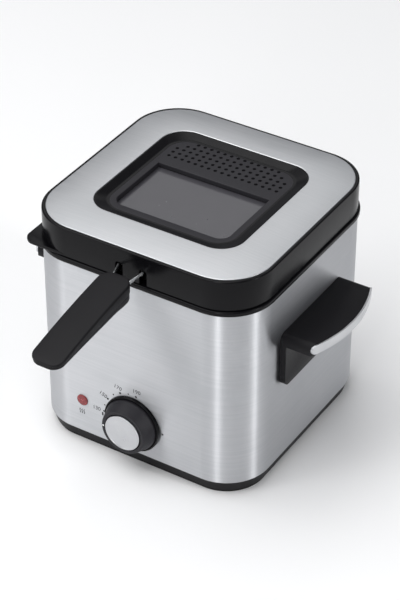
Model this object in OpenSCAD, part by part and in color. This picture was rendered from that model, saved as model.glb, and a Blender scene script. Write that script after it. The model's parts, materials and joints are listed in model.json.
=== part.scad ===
// Compact square deep fryer with a lift-off lid, a basket and a dial thermostat.
// Frame: origin on the ground under the middle of the body, +Z up, front towards -Y.

/* [Body] */
// Outer width of the steel casing (left to right)
body_w = 194; // [176:1:236]
// Outer depth of the steel casing (front to back)
body_d = 194; // [176:1:236]
// Outer corner radius of the casing
body_r = 37; // [28:1:44]
// Height of the casing wrap
casing_h = 157.5; // [140:0.5:200]
// Sheet thickness of the casing
casing_t = 0.8; // [0.5:0.1:1.2]
// Height of the skid feet
foot_h = 2; // [1.5:0.5:6]
// Height of the base tray's visible skirt
skirt_h = 10; // [8:1:16]
// How far the skirt leans in at its lower edge
skirt_lean = 2.5; // [2:0.5:9]
// Length of each skid foot along the body's sides
skid_len = 53; // [30:1:80]

/* [Rim and pot] */
// Height of the rim collar
collar_h = 4; // [3:0.5:8]
// How far the collar stands out from the casing
collar_over = 1.7; // [0.8:0.1:3]
// Gap between the pot's wall and the casing
pot_gap = 16; // [13:0.5:24]
// Depth of the oil pot from its rim to its floor
pot_depth = 113; // [95:1:130]
// Wall thickness of the pot
pot_t = 1.2; // [0.8:0.1:2]
// Inner corner radius of the pot
pot_r = 30; // [20:1:36]

/* [Lid] */
// Height of the lid's black band
band_h = 25.4; // [23:0.2:34]
// Wall thickness of the lid's band
band_t = 2.8; // [2:0.1:4]
// Width of the bare band lip round the lid plate
plate_lip = 2.4; // [1.5:0.1:5]
// Rise of the lid plate from its edge to the recess
plate_rise = 2; // [0.5:0.5:4]
// Thickness of the lid plate
plate_t = 1; // [0.6:0.1:1.5]
// Side of the square recess in the lid plate
recess_w = 128; // [116:1:134]
// Corner radius of the recess
recess_r = 20; // [12:1:26]
// Thickness of the lifting ear at the front left corner
ear_t = 2.6; // [2:0.2:5]

/* [Window and grille] */
// Width of the window opening
window_w = 98.4; // [70:0.2:100]
// Depth of the window opening (front to back)
window_d = 64; // [40:1:66]
// Spacing of the steam holes
grille_pitch = 6; // [5:0.1:6.2]
// Diameter of a steam hole
grille_hole_d = 3; // [1.5:0.1:4]
// Thickness of the window pane
glass_t = 2.6; // [2:0.1:3]

/* [Basket] */
// Gap between the basket and the pot's wall
basket_gap = 8; // [6:0.5:14]
// Height of the basket
basket_h = 84; // [60:1:90]
// Gap under the basket
basket_lift = 6.5; // [4:0.5:12]
// Diameter of the basket handle's wires
prong_d = 2.6; // [2:0.1:3.2]
// Distance between the two wires where they pass the lid's band
prong_gap = 20.8; // [16:0.2:24]
// Length of the handle grip
grip_len = 96; // [70:1:130]
// Width of the handle grip
grip_w = 26.6; // [22:0.2:34]

/* [Controls] */
// Diameter of the dial bezel
dial_d = 49; // [40:1:56]
// Diameter of the knob at its foot
knob_d = 45; // [34:0.5:45]
// Diameter of the knob's front face
knob_face_d = 38; // [28:0.5:40]
// How far the knob's face stands out from the casing
knob_out = 14.5; // [10:0.5:22]
// Diameter of the silver cap
cap_d = 31; // [20:0.5:32]
// Diameter of the thermostat's shaft
shaft_d = 6; // [5:0.5:8]
// Diameter of the lamp lens
lamp_d = 9.8; // [7:0.2:14]
// Bore of the cord grommet
cord_bore_d = 7.2; // [6:0.2:9]

/* [Side handles] */
// Width of a side handle (front to back)
handle_w = 92; // [70:1:110]
// Reach of a side handle at its middle
handle_reach = 37; // [30:1:46]
// Bulge of the handle's curved edge
handle_bulge = 10; // [5:0.5:14]
// Height of the handle's shelf
shelf_h = 9.5; // [8:0.5:14]
// Height of the handle's mounting plate
handle_plate_h = 47; // [36:1:56]
// Thickness of the handle's mounting plate
handle_plate_t = 5; // [4:0.5:8]
// Height of the silver trim
trim_h = 8; // [5:0.5:8]

/* [Hidden] */

// Shared clearances
gap = 0.3;
slack = 0.1;
run_gap = 0.05;
eps = 0.01;
arc_fn = 96;
rod_fn = 32;
knuckle = 1.2;

// Levels
casing_z = foot_h + skirt_h;
collar_z = casing_z + casing_h;
lid_z = collar_z + collar_h + gap;
lid_top = lid_z + band_h;
plate_z = lid_top + gap - plate_t;
collar_w = body_w + 2 * collar_over;
collar_d = body_d + 2 * collar_over;
in_w = body_w - 2 * casing_t;
in_d = body_d - 2 * casing_t;

// Oil pot
flange_seat = 1.5;
pot_w = body_w - 2 * pot_gap - 2 * pot_t;
pot_d = body_d - 2 * pot_gap - 2 * pot_t;
flange_z = collar_z + collar_h - flange_seat;
floor_z = flange_z + pot_t - pot_depth;
pot_under = floor_z - pot_t;
flange_w = pot_w + 2 * pot_t + 17;
flange_d = pot_d + 2 * pot_t + 17;

// Heating parts under the pot
heater_plate_t = 3;
heater_plate_r = 58;
ring_r = 48;
tube_r = 3.5;
ring_z = pot_under - heater_plate_t - tube_r - slack;
cross_t = 1.4;
cross_z = ring_z - tube_r - cross_t;
stud_r = 2;
stud_at = 46;
nut_h = 3.4;
shield_z = cross_z - nut_h - 8;
shield_t = 0.8;
stud_low = shield_z - nut_h - 1;
ring_gap_angle = 16;
terminal_x = ring_r * sin(ring_gap_angle);
terminal_y = ring_r * cos(ring_gap_angle);

// Lid
band_w = collar_w - 2.6;
band_d = collar_d - 2.6;
band_r = body_r + 1.4;
lid_in_w = band_w - 2 * band_t;
lid_in_d = band_d - 2 * band_t;
lid_in_r = band_r - band_t;
plate_w = band_w - 2 * plate_lip;
plate_d = band_d - 2 * plate_lip;
plate_r = band_r - plate_lip + 1.8;
seat_z = plate_z;
slope = plate_rise / ((plate_w - recess_w) / 2);
recess_top = plate_z + plate_t + plate_rise;
floor_drop = 3;
bezel_top = recess_top - floor_drop;
bezel_t = 2.5;
bezel_w = 111;
bezel_r = 17;
border_top = recess_top - 0.2;
curb_w = recess_w + 6;
curb_low = bezel_top - 4.5;
curb_top = plate_z + slope * plate_w * (1 - curb_w / min(plate_w, plate_d)) / 2 - gap;
ledge_w = 105;
window_y = -15.8;
glass_z = bezel_top - 4 - 0.5 - glass_t;
liner_t = 0.8;
liner_z = glass_z - liner_t;
grille_y = 28.8;
grille_cols = 17;
grille_rows = 5;
boss_x = lid_in_w / 2 - 16;
boss_y = lid_in_d / 2 - 16;
boss_r = 4;
lid_screw_r = 1.2;

// Basket
basket_w = pot_w - 2 * basket_gap;
basket_d = pot_d - 2 * basket_gap;
basket_r = pot_r / 2;
basket_t = 1.2;
basket_z = floor_z + basket_lift;
rim_h = 2.4;
bracket_t = 1.3;
bracket_w = 28;
bracket_h = 38;
bracket_y = -basket_d / 2 - 1.2 - 0.1 - bracket_t;

// Basket handle: the wires' middle line, then the grip
prong_r = prong_d / 2;
slot_z = lid_z + 11.2;
prong_tilt = 7;
prong_x = prong_gap / 2;
prong_down_y = bracket_y - slack - prong_r;
prong_bend_y = -body_d / 2 + 10;
prong_low = basket_z + basket_h + rim_h - bracket_h + 2;
prong_in = 16;
prong_end_x = prong_x - 4;
slot_w = prong_d + 4;

// Grip: a long arc over a flatter underside
grip_y0 = -body_d / 2 - 15;
grip_y1 = grip_y0 - grip_len;
grip_arc_r = 690;
grip_arc_tilt = 6;
grip_top0 = slot_z + 3.7;
grip_arc_y = grip_y0 + grip_arc_r * sin(grip_arc_tilt);
grip_arc_z = grip_top0 - grip_arc_r * cos(grip_arc_tilt);
grip_low0 = grip_top0 - 14.2;
grip_fall = 7;
grip_wall = 2.4;
grip_low1 = grip_low0 - grip_fall;
split0 = grip_low0 + 6.4;
split1 = grip_low1 + 2.2;
grip_root_r = 9;
grip_tip_r = 11;
grip_screw_y = [grip_y0 - 11, grip_y1 + 18];

// Controls
knob_x = -1.5;
knob_z = casing_z + 28;
face_y = -body_d / 2;
bezel_rise = 3;
knob_foot = 1.3;
bush_r = shaft_d / 2 + 2;
thermo_r = 13;
thermo_y = -in_d / 2 + 6;
thermo_len = 20;
lamp_x = -48;
lamp_z = casing_z + 30.7;
cord_x = 45;
tray_lip_h = 9;
grommet_r = cord_bore_d / 2 + 3.2;
grommet_lip = grommet_r + 2;
cord_z = casing_z + tray_lip_h + grommet_lip + 0.2;

// Side handles
handle_top = collar_z - 39;
handle_low = handle_top - handle_plate_h;
trim_t = 1.4;
handle_r = (handle_w * handle_w / 4 + handle_bulge * handle_bulge) / (2 * handle_bulge);
handle_cx = body_w / 2 + handle_reach - handle_r;
shelf_wall = 2.6;
handle_screw_y = 26;
handle_screw_z = handle_low + 16;

// Outline of a rectangle with round corners
module rounded(w, d, r) {
  square([w, d - 2 * r], center = true);
  square([w - 2 * r, d], center = true);
  for (sx = [-1, 1], sy = [-1, 1])
    translate([sx * (w / 2 - r), sy * (d / 2 - r)]) circle(r, $fn = arc_fn);
}

// Upright block and tube with round corners
module block(w, d, r, z0, z1) {
  translate([0, 0, z0]) linear_extrude(z1 - z0) rounded(w, d, r);
}
module wall(w, d, r, t, z0, z1) {
  translate([0, 0, z0]) linear_extrude(z1 - z0) difference() {
    rounded(w, d, r);
    rounded(w - 2 * t, d - 2 * t, r - t);
  }
}

// Round bar between two points
module bar(a, b, r) {
  v = b - a;
  len = norm(v);
  translate(a) rotate([0, acos(v.z / len), atan2(v.y, v.x)]) cylinder(h = len, r = r, $fn = rod_fn);
}
// Bars joined by slightly larger round knuckles
module bent_rod(points, r) {
  for (i = [0:len(points) - 2]) bar(points[i], points[i + 1], r);
  for (i = [1:len(points) - 2]) translate(points[i]) sphere(r * knuckle, $fn = rod_fn);
}
// Bent wire of one thickness, mitred at its bends
function unit(v) = v / norm(v);
function wire_rings(points, i, offsets) =
  i == len(points) - 1 ? [[for (o = offsets) points[i] + o]] :
  let(
    ahead = unit(points[i + 1] - points[i]),
    behind = i == 0 ? ahead : unit(points[i] - points[i - 1]),
    normal = unit(ahead + behind),
    ring = [for (o = offsets) o - behind * (o * normal) / (behind * normal)])
  concat([[for (v = ring) points[i] + v]],
    wire_rings(points, i + 1, [for (v = ring) v - ahead * (v * ahead)]));
module wire(points, r) {
  n = 12;
  d = unit(points[1] - points[0]);
  u = unit(cross(d, abs(d.z) < 0.9 ? [0, 0, 1] : [1, 0, 0]));
  w = cross(d, u);
  start = [for (k = [0:n - 1]) r * (cos(360 * k / n) * u + sin(360 * k / n) * w)];
  rings = wire_rings(points, 0, start);
  last = len(points) - 1;
  polyhedron(
    points = [for (ring = rings) each ring],
    faces = concat(
      [[for (k = [n - 1:-1:0]) k]],
      [[for (k = [0:n - 1]) last * n + k]],
      [for (i = [0:last - 1], k = [0:n - 1])
        [i * n + k, i * n + (k + 1) % n, (i + 1) * n + (k + 1) % n, (i + 1) * n + k]]));
}
// Cylinder along Y, starting at y0 and growing towards the back
module along_y(x, z, r, y0, y1) {
  translate([x, y0, z]) rotate([-90, 0, 0]) cylinder(h = y1 - y0, r = r, $fn = arc_fn);
}
module four_corners(x, y) {
  for (sx = [-1, 1], sy = [-1, 1]) translate([sx * x, sy * y, 0]) children();
}

// ---------- Body shell ----------
// The cord's cut-out is square, so that its grommet can't turn
module cord_cut(inset) {
  half = grommet_r - inset;
  translate([cord_x - half, body_d / 2 - casing_t - 1, cord_z - half])
    cube([2 * half, casing_t + 2, 2 * half]);
}
module outer_casing() {
  color("silver") difference() {
    wall(body_w, body_d, body_r, casing_t, casing_z, collar_z);
    along_y(knob_x, knob_z, bush_r + gap, face_y - 5, face_y + 5);
    along_y(lamp_x, lamp_z, lamp_d / 2 - 0.8, face_y - 5, face_y + 5);
    cord_cut(0);
    for (sx = [-1, 1], sy = [-1, 1])
      translate([sx * body_w / 2, sy * handle_screw_y, handle_screw_z]) rotate([0, 90, 0])
        cylinder(h = 10, r = 2.2, center = true, $fn = rod_fn);
  }
}

tray_w = in_w - 2 * slack;
tray_d = in_d - 2 * slack;
tray_r = body_r - casing_t;
tray_low_w = body_w - 2 - 2 * skirt_lean;
tray_low_d = body_d - 2 - 2 * skirt_lean;
tray_floor = foot_h + 2.5;
boss_in = 12;
screw_head = 2.2;
screw_boss_x = in_w / 2 - boss_in;
screw_boss_y = 46;
screw_top = casing_z + 14;
module base_tray() {
  color("#222222") difference() {
    union() {
      translate([0, 0, foot_h]) linear_extrude(height = skirt_h,
          scale = [(body_w - 2) / tray_low_w, (body_d - 2) / tray_low_d])
        rounded(tray_low_w, tray_low_d, body_r - 1 - skirt_lean);
      block(tray_w, tray_d, tray_r, casing_z, casing_z + tray_lip_h);
    }
    difference() {
      union() {
        translate([0, 0, tray_floor]) linear_extrude(height = casing_z - tray_floor + eps,
            scale = [(tray_w - 5) / (tray_low_w - 4), (tray_d - 5) / (tray_low_d - 4)])
          rounded(tray_low_w - 4, tray_low_d - 4, body_r - 3 - skirt_lean);
        block(tray_w - 5, tray_d - 5, tray_r - 2.5, casing_z, casing_z + 20);
      }
      four_corners(screw_boss_x, screw_boss_y)
        translate([0, 0, foot_h]) cylinder(h = screw_top - foot_h, r = 5, $fn = arc_fn);
    }
    four_corners(screw_boss_x, screw_boss_y) {
      cylinder(h = 60, r = 1.7, $fn = arc_fn);
      cylinder(h = foot_h + screw_head, r = 3.4, $fn = arc_fn);
    }
    for (i = [-5:5]) translate([i * 9, 0, foot_h]) cube([3.5, 46, 12], center = true);
  }
}

// A skid follows the tray's lower outline and wraps its two corners
// (side -1 is the front)
module skid(side) {
  difference() {
    wall(tray_low_w - 2, tray_low_d - 2, body_r - 2 - skirt_lean, 5, 0, foot_h);
    translate([0, -side * skid_len, foot_h / 2])
      cube([body_w, tray_low_d, foot_h + 1], center = true);
  }
}
module front_skid() { color("#1b1b1b") skid(-1); }
module rear_skid() { color("#1b1b1b") skid(1); }

// L brackets spot welded inside the casing take the base screws
module casing_brackets() {
  color("lightgray") for (m = [0, 1], sy = [-1, 1]) mirror([m, 0, 0])
    translate([0, sy * screw_boss_y, screw_top]) difference() {
      union() {
        translate([screw_boss_x - 6, -7, 0]) cube([in_w / 2 - screw_boss_x + 6, 14, 1.2]);
        translate([in_w / 2 - 1.2, -7, 0]) cube([1.2, 14, 18]);
      }
      translate([screw_boss_x, 0, -1]) cylinder(h = 5, r = 1.7, $fn = arc_fn);
    }
}
module base_screws() {
  color("gray") four_corners(screw_boss_x, screw_boss_y) {
    translate([0, 0, foot_h + 0.2]) cylinder(h = 2, r = 3, $fn = arc_fn);
    translate([0, 0, foot_h + 2]) cylinder(h = screw_top - foot_h, r = 1.6, $fn = arc_fn);
  }
}

// ---------- Rim and pot ----------
skirt_in = 2.4;
module rim_collar() {
  color("#222222") difference() {
    union() {
      block(collar_w, collar_d, body_r + collar_over, collar_z, collar_z + collar_h);
      block(in_w - 2 * slack, in_d - 2 * slack, body_r - casing_t - slack, collar_z - 9, collar_z);
    }
    block(in_w - 2 * skirt_in, in_d - 2 * skirt_in, body_r - 3, collar_z - 20, collar_z);
    block(pot_w + 2 * pot_t + 3, pot_d + 2 * pot_t + 3, pot_r + pot_t + 1.5, collar_z - 1, lid_z);
    block(flange_w + 0.6, flange_d + 0.6, pot_r + pot_t + 8.8, flange_z, lid_z);
  }
}
module oil_pot() {
  color("#3a3a3c") difference() {
    union() {
      block(pot_w + 2 * pot_t, pot_d + 2 * pot_t, pot_r + pot_t, pot_under, flange_z + pot_t);
      block(flange_w, flange_d, pot_r + pot_t + 8.5, flange_z, flange_z + pot_t);
    }
    block(pot_w, pot_d, pot_r, floor_z, flange_z + 5);
  }
}

// ---------- Heating ----------
module pot_studs() {
  color("silver") four_corners(stud_at, stud_at)
    translate([0, 0, stud_low]) cylinder(h = pot_under - stud_low, r = stud_r, $fn = rod_fn);
}
module stud_nuts() {
  color("gray") for (z = [cross_z - nut_h, shield_z - nut_h]) four_corners(stud_at, stud_at)
    translate([0, 0, z]) difference() {
      cylinder(h = nut_h, r = 4.2, $fn = 6);
      translate([0, 0, -1]) cylinder(h = nut_h + 2, r = stud_r + slack, $fn = rod_fn);
    }
}
module heater_plate() {
  color("#b9bcc0") translate([0, 0, pot_under - heater_plate_t])
    cylinder(h = heater_plate_t, r = heater_plate_r, $fn = arc_fn);
}
module heater_ring() {
  color("#5b4f48") {
    translate([0, 0, ring_z]) rotate([0, 0, 90 + ring_gap_angle])
      rotate_extrude(angle = 360 - 2 * ring_gap_angle, $fn = arc_fn)
        translate([ring_r, 0]) circle(tube_r, $fn = rod_fn);
    for (s = [-1, 1]) translate([s * terminal_x, terminal_y, 0]) {
      translate([0, 0, shield_z - 4]) cylinder(h = ring_z + tube_r - shield_z + 4, r = 4.2, $fn = rod_fn);
      translate([0, 0, shield_z - 9]) cylinder(h = 6, r = 1.2, $fn = rod_fn);
    }
  }
}
cross_len = 2 * stud_at * sqrt(2) + 14;
module clamp_cross() {
  color("silver") difference() {
    translate([0, 0, cross_z]) linear_extrude(cross_t) for (a = [45, 135]) rotate(a)
      square([cross_len, 12], center = true);
    four_corners(stud_at, stud_at) cylinder(h = 100, r = stud_r + slack, $fn = rod_fn);
  }
}
module heat_shield() {
  color("silver") difference() {
    block(2 * stud_at + 24, 2 * stud_at + 24, 14, shield_z, shield_z + 5);
    block(2 * stud_at + 22.4, 2 * stud_at + 22.4, 13.2, shield_z + shield_t, shield_z + 6);
    four_corners(stud_at, stud_at) cylinder(h = 100, r = stud_r + slack, $fn = rod_fn);
    for (s = [-1, 1])
      translate([s * terminal_x, terminal_y, 0])
        cylinder(h = 100, r = 5.5, $fn = rod_fn);
  }
}

// ---------- Thermostat ----------
bracket_plate_t = 1.2;
module thermostat() {
  color("#d8d2c4") difference() {
    union() {
      along_y(knob_x, knob_z, thermo_r, thermo_y, thermo_y + thermo_len);
      along_y(knob_x, knob_z, bush_r, face_y - 1.2, thermo_y + eps);
      translate([knob_x, thermo_y + thermo_len, knob_z - 9]) for (s = [-1, 1])
        translate([s * 6 - 3, -eps, 0]) cube([6, 5, 0.8]);
    }
    along_y(knob_x, knob_z, shaft_d / 2 + run_gap, face_y - 5, thermo_y + 14);
  }
}
module thermostat_bracket() {
  color("silver") difference() {
    translate([knob_x - 20, -in_d / 2 + 2, knob_z - 11]) {
      cube([40, bracket_plate_t, 22]);
      for (s = [0, 36]) translate([s, -2, 0]) cube([4, 2 + eps, 22]);
    }
    along_y(knob_x, knob_z, bush_r + slack, face_y, thermo_y);
  }
}
bulb_z = floor_z + 16;
bulb_y = -pot_d / 2 - pot_t - 3.2;
module thermostat_bulb() {
  color("#c08457") translate([-30, bulb_y, bulb_z]) rotate([0, 90, 0])
    cylinder(h = 60, r = 3, $fn = rod_fn);
}
capillary_y = thermo_y + 7;
module capillary() {
  color("#c08457") wire([
    [knob_x, capillary_y, knob_z + thermo_r + 0.02],
    [knob_x, capillary_y, knob_z + thermo_r + 3.5],
    [knob_x, bulb_y, knob_z + thermo_r + 6],
    [-38, bulb_y, bulb_z - 6],
    [-38, bulb_y, bulb_z],
    [-30.02, bulb_y, bulb_z]], 0.8);
}
fuse_x = heater_plate_r + 9;
module thermal_fuse() {
  color("#e6e0d0") {
    translate([fuse_x, -8, pot_under - 2.6]) rotate([-90, 0, 0]) cylinder(h = 16, r = 2.2, $fn = rod_fn);
    translate([fuse_x - 4, -3, pot_under - 0.6]) cube([8, 6, 0.6]);
  }
}

// ---------- Wiring ----------
block_x = 22;
block_y = in_d / 2 - 42;
block_z = foot_h + 2.5;
module terminal_block() {
  color("ivory") difference() {
    translate([block_x, block_y, block_z]) cube([46, 18, 14]);
    for (i = [0:2]) translate([block_x + 9 + i * 14, block_y - 1, block_z + 8]) rotate([-90, 0, 0])
      cylinder(h = 30, r = 2, $fn = rod_fn);
  }
}
lead_r = 1.2;
lead_z = block_z + 8;
module internal_leads() {
  color("firebrick") {
    wire([[block_x + 9, block_y + 6, lead_z], [block_x + 9, block_y - 8, lead_z],
      [terminal_x, terminal_y, lead_z],
      [terminal_x, terminal_y, shield_z - 9.1]], lead_r);
    wire([[block_x + 23, block_y + 6, lead_z], [block_x + 23, block_y - 8, lead_z],
      [block_x + 23, -60, lead_z], [knob_x + 6, thermo_y + thermo_len + 8, lead_z],
      [knob_x + 6, thermo_y + thermo_len + 8, knob_z - 8.6],
      [knob_x + 6, thermo_y + thermo_len + 5.1, knob_z - 8.6]], lead_r);
    wire([[knob_x - 6, thermo_y + thermo_len + 5.1, knob_z - 8.6],
      [knob_x - 6, thermo_y + thermo_len + 9, knob_z - 8.6],
      [-terminal_x, -50, lead_z + 3],
      [-terminal_x, terminal_y, lead_z + 3],
      [-terminal_x, terminal_y, shield_z - 9.1]], lead_r);
  }
}
module cord_grommet() {
  color("#1b1b1b") difference() {
    union() {
      along_y(cord_x, cord_z, grommet_r + 3, body_d / 2, body_d / 2 + 2.5);
      cord_cut(slack);
      translate([cord_x - grommet_lip, in_d / 2 - 3, cord_z - grommet_lip])
        cube([2 * grommet_lip, 3, 2 * grommet_lip]);
    }
    along_y(cord_x, cord_z, cord_bore_d / 2, body_d / 2 - 10, body_d / 2 + 10);
  }
}

// ---------- Front controls ----------
module dial_bezel() {
  color("#1f1f22") difference() {
    along_y(knob_x, knob_z, dial_d / 2, face_y - bezel_rise, face_y);
    along_y(knob_x, knob_z, knob_d / 2 + 0.5, face_y - bezel_rise - 1, face_y - 0.9);
    along_y(knob_x, knob_z, bush_r + gap, face_y - 5, face_y + 5);
  }
}
module lamp_lens() {
  color("firebrick") {
    along_y(lamp_x, lamp_z, lamp_d / 2, face_y - 1.2, face_y);
    along_y(lamp_x, lamp_z, lamp_d / 2 - 1, face_y - eps, face_y + 6);
  }
}
module lamp_holder() {
  color("ivory") difference() {
    along_y(lamp_x, lamp_z, lamp_d / 2 + 1.4, -in_d / 2, -in_d / 2 + 16);
    along_y(lamp_x, lamp_z, lamp_d / 2 - 0.9, -in_d / 2 - 1, -in_d / 2 + 14);
  }
}

// Knob: a tapered drum with a D-shaped socket behind a flat silver cap
knob_face = face_y - knob_out;
knob_back = face_y - knob_foot;
cap_t = 1.6;
pointer_r = 0.9;
pointer_at = knob_face_d / 2 - 1.3;
module d_shape(r) {
  difference() {
    circle(r, $fn = arc_fn);
    translate([r * 0.55, -2 * r]) square([2 * r, 4 * r]);
  }
}
module knob_body() {
  color("#1c1c1f") translate([knob_x, 0, knob_z]) rotate([90, 0, 0]) difference() {
    rotate_extrude($fn = arc_fn) polygon([[0, -knob_back], [knob_d / 2, -knob_back],
      [knob_d / 2, -knob_back + 3], [knob_face_d / 2 + 0.8, -knob_face - 0.8],
      [knob_face_d / 2, -knob_face], [0, -knob_face]]);
    translate([0, 0, -knob_face - cap_t]) cylinder(h = 10, r = cap_d / 2 + slack, $fn = arc_fn);
    translate([0, 0, -knob_back - 1]) cylinder(h = 3, r = bush_r + 0.4, $fn = arc_fn);
    translate([0, 0, -knob_back - 1]) linear_extrude(9) d_shape(shaft_d / 2 + run_gap);
    translate([-pointer_at, 0, -knob_face - 1.2]) cylinder(h = 3, r = pointer_r, $fn = rod_fn);
  }
}
module knob_cap() {
  color("gainsboro") along_y(knob_x, knob_z, cap_d / 2, knob_face - 0.8, knob_face + cap_t);
}
module knob_pointer() {
  color("white") along_y(knob_x - pointer_at, knob_z, pointer_r - 0.05,
    knob_face - 0.1, knob_face + 1.1);
}
shaft_front = knob_back - 7.5;
module thermostat_shaft() {
  color("silver") translate([knob_x, 0, knob_z]) rotate([90, 0, 0]) {
    translate([0, 0, -face_y + 1.5]) linear_extrude(-shaft_front + face_y - 1.5)
      d_shape(shaft_d / 2);
    translate([0, 0, -thermo_y - 12]) cylinder(h = thermo_y + 12 - face_y + 1.5, r = shaft_d / 2, $fn = arc_fn);
  }
}
module shaft_clip() {
  color("gray") translate([knob_x, 0, knob_z]) rotate([90, 0, 0])
    translate([0, 0, -face_y + 1.8]) linear_extrude(0.6) difference() {
      circle(shaft_d / 2 + 1.6, $fn = arc_fn);
      d_shape(shaft_d / 2 + run_gap);
      translate([-8, -0.8]) square([8, 1.6]);
    }
}

// ---------- Side handles ----------
// Profile across the handle, with its upper ends rolled over
module shelf_profile(w, z0, z1, r) {
  translate([-w / 2, z0]) square([w, z1 - z0 - r]);
  translate([-w / 2 + r, z0]) square([w - 2 * r, z1 - z0]);
  for (s = [-1, 1]) translate([s * (w / 2 - r), z1 - r]) circle(r, $fn = arc_fn);
}
module along_x(x0, x1) {
  translate([x0, 0, 0]) rotate([90, 0, 90]) linear_extrude(x1 - x0) children();
}
module shelf_plan(inset) {
  intersection() {
    translate([handle_cx, 0]) circle(handle_r - inset, $fn = 192);
    translate([body_w / 2, -handle_w / 2]) square([handle_reach + 20, handle_w]);
  }
}
module handle_shape() {
  difference() {
    union() {
      intersection() {
        translate([0, 0, handle_top - shelf_h]) linear_extrude(shelf_h) shelf_plan(trim_t);
        along_x(body_w / 2, body_w / 2 + 60)
          shelf_profile(handle_w, handle_top - shelf_h, handle_top, 6);
      }
      translate([body_w / 2, 0, 0]) rotate([90, 0, 90]) linear_extrude(handle_plate_t)
        translate([0, (handle_low + handle_top) / 2]) rounded(handle_w, handle_plate_h, 6);
    }
    translate([0, 0, handle_top - shelf_h - 1]) linear_extrude(shelf_h + 1 - shelf_wall)
      intersection() {
        shelf_plan(trim_t + shelf_wall);
        translate([body_w / 2 + handle_plate_t, -handle_w / 2 + shelf_wall])
          square([60, handle_w - 2 * shelf_wall]);
      }
    for (s = [-1, 1]) translate([body_w / 2 - 1, s * handle_screw_y, handle_screw_z])
      rotate([0, 90, 0]) cylinder(h = handle_plate_t - 0.2, r = 1.7, $fn = rod_fn);
  }
}
module trim_shape() {
  intersection() {
    translate([0, 0, handle_top - shelf_h]) linear_extrude(shelf_h) difference() {
      shelf_plan(0);
      translate([handle_cx, 0]) circle(handle_r - trim_t, $fn = 192);
    }
    along_x(body_w / 2 + 5, body_w / 2 + 60) translate([0, handle_top - 0.5 - trim_h / 2])
      rounded(handle_w, trim_h, trim_h / 2 - 0.1);
  }
}
module right_handle() { color("#222222") handle_shape(); }
module left_handle() { color("#222222") mirror([1, 0, 0]) handle_shape(); }
module right_trim() { color("gainsboro") trim_shape(); }
module left_trim() { color("gainsboro") mirror([1, 0, 0]) trim_shape(); }
module handle_screws() {
  color("gray") for (m = [0, 1]) mirror([m, 0, 0]) for (s = [-1, 1])
    translate([0, s * handle_screw_y, handle_screw_z]) rotate([0, 90, 0]) {
      translate([0, 0, in_w / 2 - 2]) cylinder(h = 2, r = 3.4, $fn = rod_fn);
      translate([0, 0, in_w / 2 - 1]) cylinder(h = 4.4, r = 1.6, $fn = rod_fn);
    }
}

// ---------- Lid ----------
ear_r = 9;
module lid_frame() {
  color("#222222") difference() {
    union() {
      wall(band_w, band_d, band_r, band_t, lid_z, lid_top);
      block(lid_in_w + eps, lid_in_d + eps, lid_in_r, seat_z - 2, seat_z);
      block(curb_w, curb_w, recess_r + 3, curb_low, curb_top);
      block(recess_w - 0.6, recess_w - 0.6, recess_r - 0.3, curb_low, border_top);
      translate([0, 0, lid_z]) linear_extrude(ear_t) difference() {
        translate([-band_w / 2, -band_d / 2]) {
          translate([ear_r, 0]) square([band_r - ear_r, band_r]);
          translate([0, ear_r]) square([band_r, band_r - ear_r]);
          translate([ear_r, ear_r]) circle(ear_r, $fn = arc_fn);
        }
        rounded(lid_in_w, lid_in_d, lid_in_r);
      }
      four_corners(boss_x, boss_y) translate([0, 0, liner_z + liner_t])
        cylinder(h = seat_z - 1 - liner_z - liner_t, r = boss_r, $fn = rod_fn);
    }
    wall(plate_w + 0.4, plate_d + 0.4, plate_r + 0.2, 8, seat_z, lid_top + 1);
    block(bezel_w, bezel_w, bezel_r, bezel_top - bezel_t, bezel_top + eps);
    translate([0, 0, bezel_top]) linear_extrude(height = floor_drop,
        scale = (recess_w - 1.2) / bezel_w) rounded(bezel_w, bezel_w, bezel_r);
    intersection() {
      block(bezel_w, bezel_w, bezel_r, curb_low - 1, bezel_top);
      translate([-ledge_w / 2, -ledge_w / 2, curb_low - 1]) cube([ledge_w, (ledge_w + bezel_w) / 2, 10]);
    }
    for (s = [-1, 1]) translate([s * prong_x - slot_w / 2, -band_d / 2 - 5, lid_z - 1])
      cube([slot_w, band_t + 6, slot_z + prong_r + 0.9 - lid_z + 1]);
    four_corners(boss_x, boss_y) translate([0, 0, liner_z])
      cylinder(h = 6, r = lid_screw_r + slack, $fn = rod_fn);
  }
}
module plate_frustum(z0, inset) {
  k = 0.6;
  w = plate_w - 2 * inset;
  translate([0, 0, z0]) linear_extrude(height = slope * w * (1 - k) / 2, scale = k)
    rounded(w, plate_d - 2 * inset, plate_r - inset);
}
module lid_plate() {
  color("silver") difference() {
    union() {
      block(plate_w, plate_d, plate_r, plate_z, plate_z + plate_t);
      plate_frustum(plate_z + plate_t - eps, 0);
    }
    plate_frustum(plate_z - eps, 1);
    block(recess_w, recess_w, recess_r, plate_z - 1, recess_top + 5);
  }
}

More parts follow.
